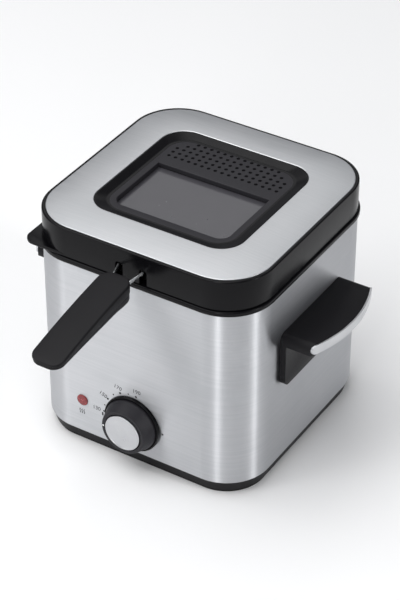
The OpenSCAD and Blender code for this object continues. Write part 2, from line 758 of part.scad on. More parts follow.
// The window's front corners are round and its rear corners nearly square
module window_shape(grow) {
  w = window_w + 2 * grow;
  d = window_d + 2 * grow;
  r = 9 + grow;
  translate([-w / 2, window_y - d / 2 + r]) square([w, d - r]);
  translate([-w / 2 + r, window_y - d / 2]) square([w - 2 * r, d]);
  for (s = [-1, 1]) translate([s * (w / 2 - r), window_y - d / 2 + r]) circle(r, $fn = arc_fn);
}
module window_bezel() {
  color("#3c3b40") difference() {
    union() {
      block(bezel_w - 2 * slack, bezel_w - 2 * slack, bezel_r - slack, bezel_top - bezel_t, bezel_top);
      translate([0, 0, bezel_top - 4 + slack]) linear_extrude(4 - slack - eps) window_shape(2);
    }
    translate([0, 0, bezel_top - 10]) linear_extrude(20) window_shape(0);
    for (i = [0:grille_cols - 1], j = [0:grille_rows - 1]) {
      side = min(i, grille_cols - 1 - i);
      if (j < grille_rows - max(0, 2 - side))
        translate([(i - (grille_cols - 1) / 2) * grille_pitch, grille_y + j * grille_pitch, bezel_top - 10])
          cylinder(h = 20, r = grille_hole_d / 2, $fn = 24);
    }
  }
}
module window_glass() {
  color("#5e5d61") translate([0, 0, glass_z]) linear_extrude(glass_t) window_shape(2.6);
}
module window_seal() {
  color("black") translate([0, 0, glass_z + glass_t]) linear_extrude(0.5) difference() {
    window_shape(2.4);
    window_shape(0.4);
  }
}
filter_y = window_y + window_d / 2 + 6;
module filter_mat() {
  top = bezel_top - bezel_t - 0.2;
  color("#8a8a80") intersection() {
    block(bezel_w - 2, bezel_w - 2, bezel_r - 1, liner_z + liner_t, top);
    translate([-ledge_w / 2 + 1, filter_y, liner_z]) cube([ledge_w - 2, bezel_w, 10]);
  }
}
module lid_liner() {
  color("silver") difference() {
    block(lid_in_w - 2 * gap, lid_in_d - 2 * gap, lid_in_r - gap, liner_z, liner_z + liner_t);
    translate([0, 0, liner_z - 1]) linear_extrude(5) window_shape(0);
    for (i = [-6:6]) translate([i * 7 - 1.5, filter_y + 4, liner_z - 1]) cube([3, 18, 4]);
    four_corners(boss_x, boss_y) translate([0, 0, liner_z - 1])
      cylinder(h = 4, r = lid_screw_r + slack, $fn = rod_fn);
  }
}
module liner_screws() {
  color("gray") four_corners(boss_x, boss_y) translate([0, 0, liner_z - 1.4]) {
    cylinder(h = 1.4, r = 2.8, $fn = rod_fn);
    cylinder(h = 6.4, r = lid_screw_r, $fn = rod_fn);
  }
}
module lid_seal() {
  color("#77736b") wall(lid_in_w - 2, lid_in_d - 2, lid_in_r - 1, 3, liner_z - 1.5, liner_z);
}

// ---------- Basket ----------
module basket_tub() {
  color("silver") difference() {
    block(basket_w, basket_d, basket_r, basket_z, basket_z + basket_h);
    block(basket_w - 2 * basket_t, basket_d - 2 * basket_t, basket_r - basket_t,
      basket_z + basket_t, basket_z + basket_h + 1);
  }
}
module basket_rim() {
  color("silver") wall(basket_w + 2.4, basket_d + 2.4, basket_r + 1.2, 2.4 + basket_t,
    basket_z + basket_h, basket_z + basket_h + rim_h);
}
module basket_bracket() {
  color("silver") translate([-bracket_w / 2, bracket_y, basket_z + basket_h + rim_h - bracket_h])
    cube([bracket_w, bracket_t, bracket_h]);
}
function prong_z(y) = slot_z + tan(prong_tilt) * (y + body_d / 2);
module handle_prongs() {
  color("silver") for (s = [-1, 1]) {
    knee = grip_y0 - 3;
    bent_rod([
      [s * prong_x, prong_down_y, prong_low],
      [s * prong_x, prong_down_y, prong_z(prong_bend_y) - 6],
      [s * prong_x, prong_bend_y, prong_z(prong_bend_y)],
      [s * prong_x, -body_d / 2 - 1, prong_z(-body_d / 2 - 1)],
      [s * prong_end_x, knee, prong_z(knee)],
      [s * prong_end_x, knee - prong_in, prong_z(knee - prong_in)]], prong_r);
  }
}

// Side view of the grip: between two straight lines, under its arched top moved in by an inset
function grip_top(y) = grip_arc_z + sqrt(grip_arc_r * grip_arc_r - (y - grip_arc_y) * (y - grip_arc_y));
function grip_low(y) = grip_low0 - grip_fall * (grip_y0 - y) / grip_len;
module grip_side(low0, low1, high0, high1, inset) {
  intersection() {
    translate([grip_arc_y, grip_arc_z]) circle(grip_arc_r - inset, $fn = 720);
    polygon([[grip_y1 - 1, low1], [grip_y0 + 1, low0], [grip_y0 + 1, high0], [grip_y1 - 1, high1]]);
  }
}
module grip_plan(inset) {
  w = grip_w / 2 - inset;
  y0 = grip_y0 - inset;
  y1 = grip_y1 + inset;
  r0 = grip_root_r - inset;
  r1 = grip_tip_r - inset;
  translate([-w, y1 + r1]) square([2 * w, y0 - r0 - y1 - r1]);
  translate([-w + r0, y0 - r0 - eps]) square([2 * (w - r0), r0 + eps]);
  translate([-w + r1, y1]) square([2 * (w - r1), r1 + eps]);
  for (s = [-1, 1]) {
    translate([s * (w - r0), y0 - r0]) circle(r0, $fn = arc_fn);
    translate([s * (w - r1), y1 + r1]) circle(r1, $fn = arc_fn);
  }
}
module grip_solid(low0, low1, high0, high1, inset) {
  intersection() {
    translate([0, 0, grip_low0 - 40]) linear_extrude(80) grip_plan(inset);
    rotate([90, 0, 90]) linear_extrude(grip_w + 10, center = true)
      grip_side(low0, low1, high0, high1, inset);
  }
}
module wire_channels() {
  for (s = [-1, 1]) {
    knee = grip_y0 - 3;
    bar([s * prong_x, -body_d / 2 - 1, prong_z(-body_d / 2 - 1)],
      [s * prong_end_x, knee, prong_z(knee)], prong_r + slack);
    translate([s * prong_end_x, knee, prong_z(knee)]) sphere(prong_r * knuckle + slack, $fn = rod_fn);
    bar([s * prong_end_x, knee, prong_z(knee)],
      [s * prong_end_x, knee - prong_in - 0.5, prong_z(knee - prong_in - 0.5)], prong_r + slack);
  }
}
// The cavity lies between the wires' clamp and the tip's screw
module grip_cavity(low0, low1, high0, high1) {
  intersection() {
    grip_solid(low0, low1, high0, high1, grip_wall);
    translate([-50, grip_y1 + 26, 0]) cube([100, grip_len - prong_in - 34, 400]);
  }
}
module grip_screw_holes() {
  for (y = grip_screw_y) translate([0, y, 0]) {
    translate([0, 0, grip_low(y) - 5]) cylinder(h = grip_top(y) - grip_low(y) + 3.4, r = 1.6, $fn = rod_fn);
    translate([0, 0, grip_low(y) - 5]) cylinder(h = 6.4, r = 3, $fn = rod_fn);
  }
}
module grip_upper() {
  color("#222222") difference() {
    grip_solid(split0, split1, grip_top0 + 20, grip_top0 + 20, 0);
    grip_cavity(split0 - 1, split1 - 1, grip_top0 + 20, grip_top0 + 20);
    wire_channels();
    grip_screw_holes();
  }
}
module grip_lower() {
  color("#222222") difference() {
    grip_solid(grip_low0, grip_low1, split0, split1, 0);
    grip_cavity(grip_low0 + grip_wall, grip_low1 + grip_wall, split0 + 1, split1 + 1);
    wire_channels();
    grip_screw_holes();
  }
}
module grip_screws() {
  color("gray") for (y = grip_screw_y) translate([0, y, grip_low(y) + 0.3]) {
    cylinder(h = 1.1, r = 2.8, $fn = rod_fn);
    cylinder(h = grip_top(y) - grip_low(y) - 2.2, r = 1.5, $fn = rod_fn);
  }
}

outer_casing();
base_tray();
front_skid();
rear_skid();
casing_brackets();
base_screws();
rim_collar();
oil_pot();
pot_studs();
stud_nuts();
heater_plate();
heater_ring();
clamp_cross();
heat_shield();
thermostat();
thermostat_bracket();
capillary();
thermostat_bulb();
thermal_fuse();
terminal_block();
internal_leads();
cord_grommet();
dial_bezel();
lamp_lens();
lamp_holder();
right_handle();
left_handle();
right_trim();
left_trim();
handle_screws();
knob_body();
knob_cap();
knob_pointer();
thermostat_shaft();
shaft_clip();
lid_frame();
lid_plate();
window_bezel();
window_glass();
window_seal();
filter_mat();
lid_liner();
liner_screws();
lid_seal();
basket_tub();
basket_rim();
basket_bracket();
handle_prongs();
grip_upper();
grip_lower();
grip_screws();
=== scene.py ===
# %% [markdown]
# # A compact square deep fryer, one piece at a time
# The measured model is loaded first and never changed. It gives every size and place.
# Blender then adds what a workshop would call the finish: rolled edges, brushed steel,
# moulded plastic, wire mesh, screws, print and light. The pieces' lengths are in
# millimetres until the last moment, because that is how the real pieces are drawn. The
# camera, the lights and the floor are in metres.

import json
import math

import bmesh
import bpy
from mathutils import Matrix, Vector

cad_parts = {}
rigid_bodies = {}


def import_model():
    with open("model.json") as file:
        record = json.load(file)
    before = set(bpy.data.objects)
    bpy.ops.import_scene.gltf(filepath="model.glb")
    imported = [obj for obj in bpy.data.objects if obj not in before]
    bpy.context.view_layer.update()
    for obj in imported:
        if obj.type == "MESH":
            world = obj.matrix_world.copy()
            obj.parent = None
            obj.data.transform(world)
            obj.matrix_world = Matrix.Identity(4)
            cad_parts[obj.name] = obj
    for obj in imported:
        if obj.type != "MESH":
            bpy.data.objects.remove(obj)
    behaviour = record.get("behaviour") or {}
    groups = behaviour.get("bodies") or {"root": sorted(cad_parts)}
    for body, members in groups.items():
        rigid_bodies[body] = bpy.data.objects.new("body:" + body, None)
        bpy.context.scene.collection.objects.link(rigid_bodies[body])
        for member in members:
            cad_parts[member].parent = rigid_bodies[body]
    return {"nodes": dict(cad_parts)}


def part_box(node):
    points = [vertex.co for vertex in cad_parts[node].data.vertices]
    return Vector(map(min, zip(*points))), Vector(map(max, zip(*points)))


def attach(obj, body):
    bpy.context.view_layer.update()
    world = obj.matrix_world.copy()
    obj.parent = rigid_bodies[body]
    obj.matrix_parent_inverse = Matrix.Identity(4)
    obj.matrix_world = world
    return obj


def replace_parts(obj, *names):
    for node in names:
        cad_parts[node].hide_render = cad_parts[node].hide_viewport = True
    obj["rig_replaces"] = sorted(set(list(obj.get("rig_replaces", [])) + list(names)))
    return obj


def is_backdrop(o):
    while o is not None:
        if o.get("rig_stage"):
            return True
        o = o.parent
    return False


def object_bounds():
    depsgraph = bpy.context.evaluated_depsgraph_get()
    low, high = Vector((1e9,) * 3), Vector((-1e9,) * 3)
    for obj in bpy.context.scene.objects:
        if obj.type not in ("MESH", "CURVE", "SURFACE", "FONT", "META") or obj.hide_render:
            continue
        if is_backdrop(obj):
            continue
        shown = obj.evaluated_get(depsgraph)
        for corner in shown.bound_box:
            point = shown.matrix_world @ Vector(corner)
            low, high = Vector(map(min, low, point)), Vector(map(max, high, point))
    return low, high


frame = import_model()
cad_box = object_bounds()
MM = 0.001
scene = bpy.context.scene


# %% [markdown]
# ## Camera
# The fryer is seen from the front right, from a little above head height, through a long
# lens, so its upright edges stay almost parallel. The long lens is what makes it look calm.

# %% Camera
def put(name, data):
    """Adds an object to the scene."""
    made = bpy.data.objects.new(name, data)
    scene.collection.objects.link(made)
    return made


lens = bpy.data.cameras.new("camera")
lens.lens, lens.sensor_width = 128.6, 36
camera = put("camera", lens)
camera.location = (0.7154, -1.1454, 1.082)
camera.rotation_mode = "QUATERNION"
camera.rotation_quaternion = Vector((-0.4287, 0.6847, -0.5894)).to_track_quat("-Z", "Y")
scene.camera = camera
print("camera", round(camera.location.length, 2), "m from the object's foot")


# %% [markdown]
# ## Floor and light
# Brushed steel has hardly any colour of its own: it shows what stands round it. So the
# light is built for the steel. A pale floor fills the upright walls and a wide overhead
# panel whitens it. A softbox at the front left brightens the front wall, a panel behind
# brightens the lid, and two narrow strips draw the bright lines down the rounded corner.
# Nothing stands at the rear right, so the right-hand wall stays darker.

# %% Floor and light
scene.view_settings.view_transform = "Standard"


def panel(name, place, width, height, radiance, aim=(0, 0, 0.1)):
    """A soft rectangular light. Its power follows from how bright its surface should look."""
    light = bpy.data.lights.new(name, "AREA")
    light.shape, light.size, light.size_y = "RECTANGLE", width, height
    light.energy = radiance * math.pi * width * height
    lamp = put(name, light)
    lamp.location = place
    lamp.rotation_mode = "QUATERNION"
    lamp.rotation_quaternion = (Vector(aim) - Vector(place)).to_track_quat("-Z", "Y")


panel("overhead_panel", (-0.75, -0.45, 2.4), 2.6, 2.6, 2.6)
panel("front_left_softbox", (-0.88, -1.23, 0.75), 0.4, 1.4, 2.0)
panel("front_strip", (0.33, -1.46, 0.75), 0.22, 1.5, 5.6)
panel("right_strip", (1.5, -0.02, 0.75), 0.18, 1.5, 8)
panel("rear_left_panel", (-1.06, 1.7, 2.0), 1.5, 1.2, 0.9)

world = bpy.data.worlds.new("studio")
world.use_nodes = True
sky = world.node_tree.nodes["Background"].inputs
sky["Color"].default_value, sky["Strength"].default_value = (0.93, 0.95, 1, 1), 0.25
scene.world = world


# %% [markdown]
# ## Colours and one node helper
# Colours are written as hex values, the way a paint chart gives them. Blender's shader
# works in linear light, so one function converts them. One more function adds any node,
# sets it up and links it, which keeps every material below short enough to read.

# %% Colours and one node helper
def linear(hex_colour):
    """An sRGB hex colour as linear RGBA."""
    parts = [int(hex_colour[i:i + 2], 16) / 255 for i in (1, 3, 5)]
    return [c / 12.92 if c <= 0.04045 else ((c + 0.055) / 1.055) ** 2.4 for c in parts] + [1]


def add(tree, kind, inputs=None, **settings):
    """Adds one node. Each input is a plain value or another node's output."""
    made = tree.nodes.new(kind)
    made.location = (220 * (len(tree.nodes) % 8), -260 * (len(tree.nodes) // 8))
    for name, value in settings.items():
        setattr(made, name, value)
    for name, value in (inputs or {}).items():
        if isinstance(value, bpy.types.NodeSocket):
            tree.links.new(value, made.inputs[name])
        else:
            made.inputs[name].default_value = value
    return made


def finish(name, **shader):
    """A new material: its tree, its Principled shader with even values set on its sockets,
    and Object coordinates to hang patterns on."""
    material = bpy.data.materials.new(name)
    material.use_nodes = True
    tree = material.node_tree
    tree.nodes.clear()
    values = {key.replace("_", " ").title().replace("Ior", "IOR"): v for key, v in shader.items()}
    principled = add(tree, "ShaderNodeBsdfPrincipled", values)
    add(tree, "ShaderNodeOutputMaterial", {"Surface": principled.outputs["BSDF"]})
    place = add(tree, "ShaderNodeTexCoord")
    return material, tree, principled, place.outputs["Object"]


def coat(tree, shader, colour, gloss=None, bump=None):
    """Links the nodes of a finish's colour, gloss and dents to its shader."""
    for socket, node, output in (("Base Color", colour, 2), ("Roughness", gloss, "Result"),
                                 ("Normal", bump, "Normal")):
        if node:
            tree.links.new(node.outputs[output], shader.inputs[socket])


def per_mm(size_mm):
    """How often a pattern repeats in a metre when one repeat is size_mm across."""
    return 1000 / size_mm


print("white paper is", [round(c, 3) for c in linear("#F5F5F5")])


# %% [markdown]
# ## Brushed steel
# The wrap and the lid plate are thin ferritic stainless steel, drawn past an abrasive belt.
# The belt leaves parallel scratches, so light spreads across them and stays sharp along
# them: the wrap is scratched level, so a lamp shows in it as an upright streak. Real
# scratches are about 0.05 mm apart, far too fine to see from here, so they are drawn 1.6 mm
# apart and 40 to 60 mm long. They change the tone, the gloss and the normal a little. A slow
# cloud on top gives the faint unevenness that any rolled sheet has.

# %% Brushed steel
SCRATCH_MM = 1.6


def brushed_steel(name, colour_low, colour_high, stretch, rough_low, rough_high, dent, smear):
    """Stainless steel with scratches. stretch gives the pattern's size along X, Y and Z in
    mm, and smear how much more the light spreads across level scratches than along them."""
    material, tree, shader, place = finish(name, metallic=1.0, anisotropic=smear,
                                           anisotropic_rotation=0.25)
    level = add(tree, "ShaderNodeTangent", direction_type="RADIAL", axis="Z")
    tree.links.new(level.outputs["Tangent"], shader.inputs["Tangent"])
    turn = add(tree, "ShaderNodeMapping", {"Vector": place, "Scale": [per_mm(s) for s in stretch]})
    lines = add(tree, "ShaderNodeTexNoise",
                {"Vector": turn.outputs["Vector"], "Scale": 1.0, "Detail": 1.0, "Roughness": 0.5})
    cloud = add(tree, "ShaderNodeTexNoise",
                {"Vector": place, "Scale": per_mm(60), "Detail": 2.0, "Roughness": 0.5})
    both = add(tree, "ShaderNodeMath", {0: lines.outputs["Fac"], 1: cloud.outputs["Fac"]},
               operation="ADD")
    half = add(tree, "ShaderNodeMath", {0: both.outputs[0], 1: 0.5}, operation="MULTIPLY")
    tone = add(tree, "ShaderNodeMapRange", {"Value": half.outputs[0], "From Min": 0.36, "From Max": 0.64})
    colour = add(tree, "ShaderNodeMix", {"Factor": tone.outputs["Result"], 6: linear(colour_low),
                                         7: linear(colour_high)}, data_type="RGBA")
    gloss = add(tree, "ShaderNodeMapRange", {
        "Value": lines.outputs["Fac"], "From Min": 0.3, "From Max": 0.7,
        "To Min": rough_low, "To Max": rough_high})
    bump = add(tree, "ShaderNodeBump", {"Strength": 0.5, "Distance": dent * MM,
                                        "Height": lines.outputs["Fac"]})
    coat(tree, shader, colour, gloss, bump)
    return material


steel_wrap = brushed_steel("belt_brushed_stainless_wrap", "#C3C5C8", "#CDCED1", (60, 60, SCRATCH_MM),
                           0.36, 0.43, 0.02, smear=0.95)
steel_lid = brushed_steel("belt_brushed_stainless_lid", "#CACCCE", "#D2D3D5", (40, SCRATCH_MM, 40),
                          0.35, 0.41, 0.015, smear=0)
print("scratches repeat", round(per_mm(SCRATCH_MM)), "times in a metre")


# %% [markdown]
# ## Moulded plastics and rubber
# The black pieces are polypropylene and ABS, moulded against steel. Where the mould was
# spark-eroded the skin is matt with a fine grain, and where it was polished the skin is
# glossy with only slow waves left by shrinking. The grain is about 0.3 mm on the real
# thing, drawn at 0.7 mm so that it can be seen. Silicone and rubber are duller still.

# %% Moulded plastics and rubber
def moulded(name, colour_low, colour_high, grain_mm, rough_low, rough_high, dent, **shader):
    """A moulded skin: one colour that varies slightly, with a grain that dulls and dents it."""
    material, tree, skin, place = finish(name, **shader)
    grain = add(tree, "ShaderNodeTexNoise",
                {"Vector": place, "Scale": per_mm(grain_mm), "Detail": 2.0, "Roughness": 0.55})
    flow = add(tree, "ShaderNodeTexNoise", {"Vector": place, "Scale": per_mm(35), "Detail": 2.0})
    colour = add(tree, "ShaderNodeMix", {"Factor": flow.outputs["Fac"], 6: linear(colour_low),
                                         7: linear(colour_high)}, data_type="RGBA")
    gloss = add(tree, "ShaderNodeMapRange", {
        "Value": grain.outputs["Fac"], "From Min": 0.3, "From Max": 0.7,
        "To Min": rough_low, "To Max": rough_high})
    bump = add(tree, "ShaderNodeBump", {"Strength": 0.6, "Distance": dent * MM,
                                        "Height": grain.outputs["Fac"]})
    coat(tree, skin, colour, gloss, bump)
    return material


matt_black = moulded("spark_eroded_black_polypropylene", "#0E0D10", "#141316", 0.7, 0.4, 0.5, 0.02,
                     specular_ior_level=0.18)
gloss_black = moulded("polished_black_abs", "#08080A", "#0D0C0F", 9, 0.2, 0.26, 0.003,
                      specular_ior_level=0.14)
satin_black = moulded("satin_charcoal_abs", "#232226", "#2A292D", 0.7, 0.4, 0.5, 0.015,
                      specular_ior_level=0.22)
foot_rubber = moulded("moulded_black_rubber", "#0F0F10", "#171718", 1.2, 0.7, 0.85, 0.05,
                      specular_ior_level=0.3)
seal_silicone = moulded("grey_silicone_seal", "#6F6B64", "#7F7B73", 2, 0.5, 0.62, 0.02)
nylon = moulded("cream_nylon", "#DDD6C4", "#EAE4D4", 1.5, 0.38, 0.48, 0.02)
print(len(bpy.data.materials), "materials so far, with those of the measured model")


# %% [markdown]
# ## Plain metals
# Inside and under the fryer nothing is brushed. Sheet brackets are rolled steel with a dull
# zinc bloom, screws are zinc plated, the wires are drawn stainless, the heating plate is
# sand-cast aluminium and the heating tube is steel browned by heat. One recipe serves all
# of them: a noise sets how patchy the tone is, and the same noise dulls and dents it.

# %% Plain metals
def bare_metal(name, colour_low, colour_high, patch_mm, rough_low, rough_high, dent):
    material, tree, shader, place = finish(name, metallic=1.0)
    patch = add(tree, "ShaderNodeTexNoise",
                {"Vector": place, "Scale": per_mm(patch_mm), "Detail": 4.0, "Roughness": 0.6})
    tone = add(tree, "ShaderNodeMapRange",
               {"Value": patch.outputs["Fac"], "From Min": 0.35, "From Max": 0.65})
    colour = add(tree, "ShaderNodeMix", {"Factor": tone.outputs["Result"], 6: linear(colour_low),
                                         7: linear(colour_high)}, data_type="RGBA")
    gloss = add(tree, "ShaderNodeMapRange", {
        "Value": patch.outputs["Fac"], "From Min": 0.3, "From Max": 0.7,
        "To Min": rough_low, "To Max": rough_high})
    bump = add(tree, "ShaderNodeBump", {"Strength": 0.5, "Distance": dent * MM,
                                        "Height": patch.outputs["Fac"]})
    coat(tree, shader, colour, gloss, bump)
    return material


zinc_sheet = bare_metal("galvanised_sheet", "#A9AFB3", "#C3C8CB", 9, 0.34, 0.48, 0.02)
zinc_screw = bare_metal("zinc_plated_steel", "#9FA4A8", "#BCC0C3", 3, 0.28, 0.4, 0.01)
drawn_wire = bare_metal("drawn_stainless_wire", "#BFC2C4", "#D6D8D9", 5, 0.16, 0.26, 0.005)
cast_aluminium = bare_metal("sand_cast_aluminium", "#9C9FA2", "#B9BCBF", 1.5, 0.5, 0.65, 0.12)
browned_tube = bare_metal("heat_browned_steel_tube", "#4A3F39", "#6E6058", 7, 0.42, 0.58, 0.02)
bright_copper = bare_metal("tarnished_copper", "#A3643C", "#C98A5B", 6, 0.25, 0.4, 0.01)
satin_silver = bare_metal("satin_metallised_abs", "#BFC0C3", "#CACBCD", 25, 0.26, 0.32, 0.004)
print(sum(1 for m in bpy.data.materials if m.use_nodes), "materials with nodes")


# %% [markdown]
# ## Special finishes
# A few pieces need their own recipe. The pot's non-stick coat is dark with tiny pale
# flecks. The lamp's lens is red polycarbonate that lets some light in. The window is
# toughened glass with a few dry drops; its dark grey colour is painted shade of the dark
# oil space under it. The filter is a felt of fibres, and the leads wear a woven sleeve.

# %% Pot coating and lens
FLECK_MM = 2.2
pot_coat, tree, shader, place = finish("flecked_nonstick_coat", ior=1.45)
flecks = add(tree, "ShaderNodeTexVoronoi", {"Vector": place, "Scale": per_mm(FLECK_MM)}, feature="F1")
spot = add(tree, "ShaderNodeMapRange", {"Value": flecks.outputs["Distance"], "From Min": 0.1,
                                        "From Max": 0.16, "To Min": 1.0, "To Max": 0.0})
colour = add(tree, "ShaderNodeMix", {"Factor": spot.outputs["Result"], 6: linear("#2B2B2D"),
                                     7: linear("#77777A")}, data_type="RGBA")
sheen = add(tree, "ShaderNodeTexNoise", {"Vector": place, "Scale": per_mm(1.2), "Detail": 2.0})
gloss = add(tree, "ShaderNodeMapRange", {"Value": sheen.outputs["Fac"], "To Min": 0.32, "To Max": 0.5})
bump = add(tree, "ShaderNodeBump", {"Strength": 0.4, "Distance": 0.03 * MM, "Height": sheen.outputs["Fac"]})
coat(tree, shader, colour, gloss, bump)

red_lens, tree, shader, place = finish("red_polycarbonate_lens", ior=1.58, transmission_weight=0.25)
facet = add(tree, "ShaderNodeTexVoronoi", {"Vector": place, "Scale": per_mm(1.6)}, feature="F1")
colour = add(tree, "ShaderNodeMix", {"Factor": facet.outputs["Distance"], 6: linear("#7E1F24"),
                                     7: linear("#A8363A")}, data_type="RGBA")
gloss = add(tree, "ShaderNodeMapRange", {"Value": facet.outputs["Distance"], "To Min": 0.18, "To Max": 0.3})
bump = add(tree, "ShaderNodeBump", {"Strength": 0.4, "Distance": 0.1 * MM,
                                    "Height": facet.outputs["Distance"]})
coat(tree, shader, colour, gloss, bump)
print("flecks every", FLECK_MM, "mm in the pot")

# %% Window, filter, sleeve and print
glass_with_painted_shade, tree, shader, place = finish("toughened_window_glass", ior=1.52, transmission_weight=0.2,
                                           coat_weight=0.3)
drops = add(tree, "ShaderNodeTexVoronoi", {"Vector": place, "Scale": per_mm(9)}, feature="F1")
dot = add(tree, "ShaderNodeMapRange", {"Value": drops.outputs["Distance"], "From Min": 0.05,
                                       "From Max": 0.08, "To Min": 1.0, "To Max": 0.0})
where = add(tree, "ShaderNodeTexNoise", {"Vector": place, "Scale": per_mm(28), "Detail": 1.0})
some = add(tree, "ShaderNodeMapRange", {"Value": where.outputs["Fac"], "From Min": 0.54, "From Max": 0.6})
fleck = add(tree, "ShaderNodeMath", {0: dot.outputs["Result"], 1: some.outputs["Result"]},
            operation="MULTIPLY")
# The glass's dark grey base is painted shade of the dark oil space under it; the paler flecks are dry drops.
colour = add(tree, "ShaderNodeMix", {"Factor": fleck.outputs[0], 6: linear("#49484D"),
                                     7: linear("#7E7D82")}, data_type="RGBA")
haze = add(tree, "ShaderNodeTexNoise", {"Vector": place, "Scale": per_mm(14), "Detail": 3.0})
gloss = add(tree, "ShaderNodeMapRange", {"Value": haze.outputs["Fac"], "To Min": 0.24, "To Max": 0.36})
coat(tree, shader, colour, gloss)

felt, tree, shader, place = finish("needled_filter_felt", sheen_weight=0.3, roughness=0.9)
strands = add(tree, "ShaderNodeMapping", {"Vector": place, "Rotation": (0, 0, 0.6),
                                          "Scale": (per_mm(6), per_mm(0.8), per_mm(2))})
fibre = add(tree, "ShaderNodeTexNoise", {"Vector": strands.outputs["Vector"], "Scale": 1.0, "Detail": 4.0})
colour = add(tree, "ShaderNodeMix", {"Factor": fibre.outputs["Fac"], 6: linear("#6C6C64"),
                                     7: linear("#A7A79C")}, data_type="RGBA")
bump = add(tree, "ShaderNodeBump", {"Strength": 0.8, "Distance": 0.3 * MM, "Height": fibre.outputs["Fac"]})
coat(tree, shader, colour, bump=bump)

sleeve, tree, shader, place = finish("woven_glass_fibre_sleeve", roughness=0.75)
weave = add(tree, "ShaderNodeTexVoronoi", {"Vector": place, "Scale": per_mm(0.8)}, feature="F1")
colour = add(tree, "ShaderNodeMix", {"Factor": weave.outputs["Distance"], 6: linear("#B4493C"),
                                     7: linear("#7E2A22")}, data_type="RGBA")
bump = add(tree, "ShaderNodeBump", {"Strength": 0.6, "Distance": 0.15 * MM,
                                    "Height": weave.outputs["Distance"]})
coat(tree, shader, colour, bump=bump)

dark_ink = moulded("pad_printed_dark_ink", "#15161A", "#222327", 0.8, 0.5, 0.65, 0.005)
white_ink = moulded("white_marker_paint", "#EDEDED", "#F8F8F8", 0.8, 0.45, 0.6, 0.005)
print(len([m for m in bpy.data.materials if m.users == 0]), "finishes waiting for their pieces")


# %% [markdown]
# ## Rings and vessels
# Nearly every large piece here follows one rule: a round-cornered square, swept with a
# profile. So a piece is written as its profile, a list of half width, height and corner
# radius, each with the fillet it gets. Lofting through such loops gives clean quads and
# true rolled edges, which is what catches the light on a real moulding or pressing.

# %% Rings and vessels
ARC = 14


def loop(half, z, corner, half_deep=None):
    """Points round one round-cornered square, anticlockwise from the right rear corner."""
    deep = half if half_deep is None else half_deep
    corner = max(min(corner, half, deep), 0.05)
    points = []
    for quarter, (sx, sy) in enumerate(((1, 1), (-1, 1), (-1, -1), (1, -1))):
        for i in range(ARC + 1):
            a = math.pi / 2 * (quarter + i / ARC)
            points.append(Vector((sx * (half - corner) + corner * math.cos(a),
                                  sy * (deep - corner) + corner * math.sin(a), z)))
    return points


def filleted(profile, closed, steps=4):
    """Rounds a profile's corners. Each point is (half, z, corner radius, fillet)."""
    out, count = [], len(profile)
    for i, point in enumerate(profile):
        here, radius = Vector(point[:3]), point[3]
        if radius <= 0 or (not closed and i in (0, count - 1)):
            out.append(here)
            continue
        before, after = Vector(profile[i - 1][:3]), Vector(profile[(i + 1) % count][:3])
        legs = [Vector((v.x, v.y)) for v in (before - here, after - here)]
        turn = math.pi - legs[0].angle(legs[1])
        cut = min(radius * math.tan(turn / 2), 0.48 * legs[0].length, 0.48 * legs[1].length)
        a = here + (before - here) * (cut / legs[0].length)
        b = here + (after - here) * (cut / legs[1].length)
        for k in range(steps + 1):
            t = k / steps
            out.append(a * (1 - t) ** 2 + here * 2 * t * (1 - t) + b * t * t)
    return out


def soften(mesh, sharp=40):
    """Smooth shading, with creases where faces meet at more than sharp degrees."""
    for face in mesh.polygons:
        face.use_smooth = True
    mesh.set_sharp_from_angle(angle=math.radians(sharp))


def baked(made):
    """An object's mesh after its modifiers, as plain data."""
    graph = bpy.context.evaluated_depsgraph_get()
    return bpy.data.meshes.new_from_object(made.evaluated_get(graph), depsgraph=graph)


def circle(x, y, radius, count):
    """Points round a circle."""
    turns = [2 * math.pi * k / count for k in range(count)]
    return [(x + radius * math.cos(a), y + radius * math.sin(a)) for a in turns]


def mesh_object(name, bm, sharp=40):
    """Closes a mesh: welded, outward normals, smooth with crisp creases, in metres."""
    bmesh.ops.remove_doubles(bm, verts=bm.verts, dist=0.002)
    bmesh.ops.recalc_face_normals(bm, faces=bm.faces)
    bmesh.ops.transform(bm, matrix=Matrix.Scale(MM, 4), verts=bm.verts)
    mesh = bpy.data.meshes.new(name)
    bm.to_mesh(mesh)
    bm.free()
    soften(mesh, sharp)
    return put(name, mesh)


def loft(bm, loops, ring):
    """Skins loops of equal length. A ring closes on itself; otherwise both ends are capped."""
    rows = [[bm.verts.new(p) for p in points] for points in loops]
    pairs = list(zip(rows, rows[1:])) + ([(rows[-1], rows[0])] if ring else [])
    for a, b in pairs:
        for i in range(len(a)):
            j = (i + 1) % len(a)
            bm.faces.new((a[i], a[j], b[j], b[i]))
    if not ring:
        bm.faces.new(rows[0][::-1])
        bm.faces.new(rows[-1])


def swept(name, profile, ring=True, sharp=40):
    """A round-cornered square ring or vessel from its profile."""
    bm = bmesh.new()
    loft(bm, [loop(p.x, p.y, p.z) for p in filleted(profile, ring)], ring)
    return mesh_object(name, bm, sharp)


def dress(made, material, body, slot, *nodes):
    """Gives a piece its finish, the body it rides on and the measured nodes it stands for."""
    made.data.materials.clear()
    made.data.materials.append(material)
    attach(made, body)
    if nodes:
        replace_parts(made, *nodes)
    print(made.name, len(made.data.polygons), "faces")
    return made


def span(node):
    """A measured node's lowest and highest corners, in millimetres."""
    low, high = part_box(node)
    return low / MM, high / MM


print("a loop has", len(loop(10, 0, 2)), "points")


# %% [markdown]
# ## Collar and pot
# The collar is a moulded frame that hides the wrap's raw edge and carries the pot's flange.
# The pot is deep drawn from one sheet, so every bend has a radius, as drawing would tear a
# sharp one. Both are one loft, and their levels come from the measured pieces.

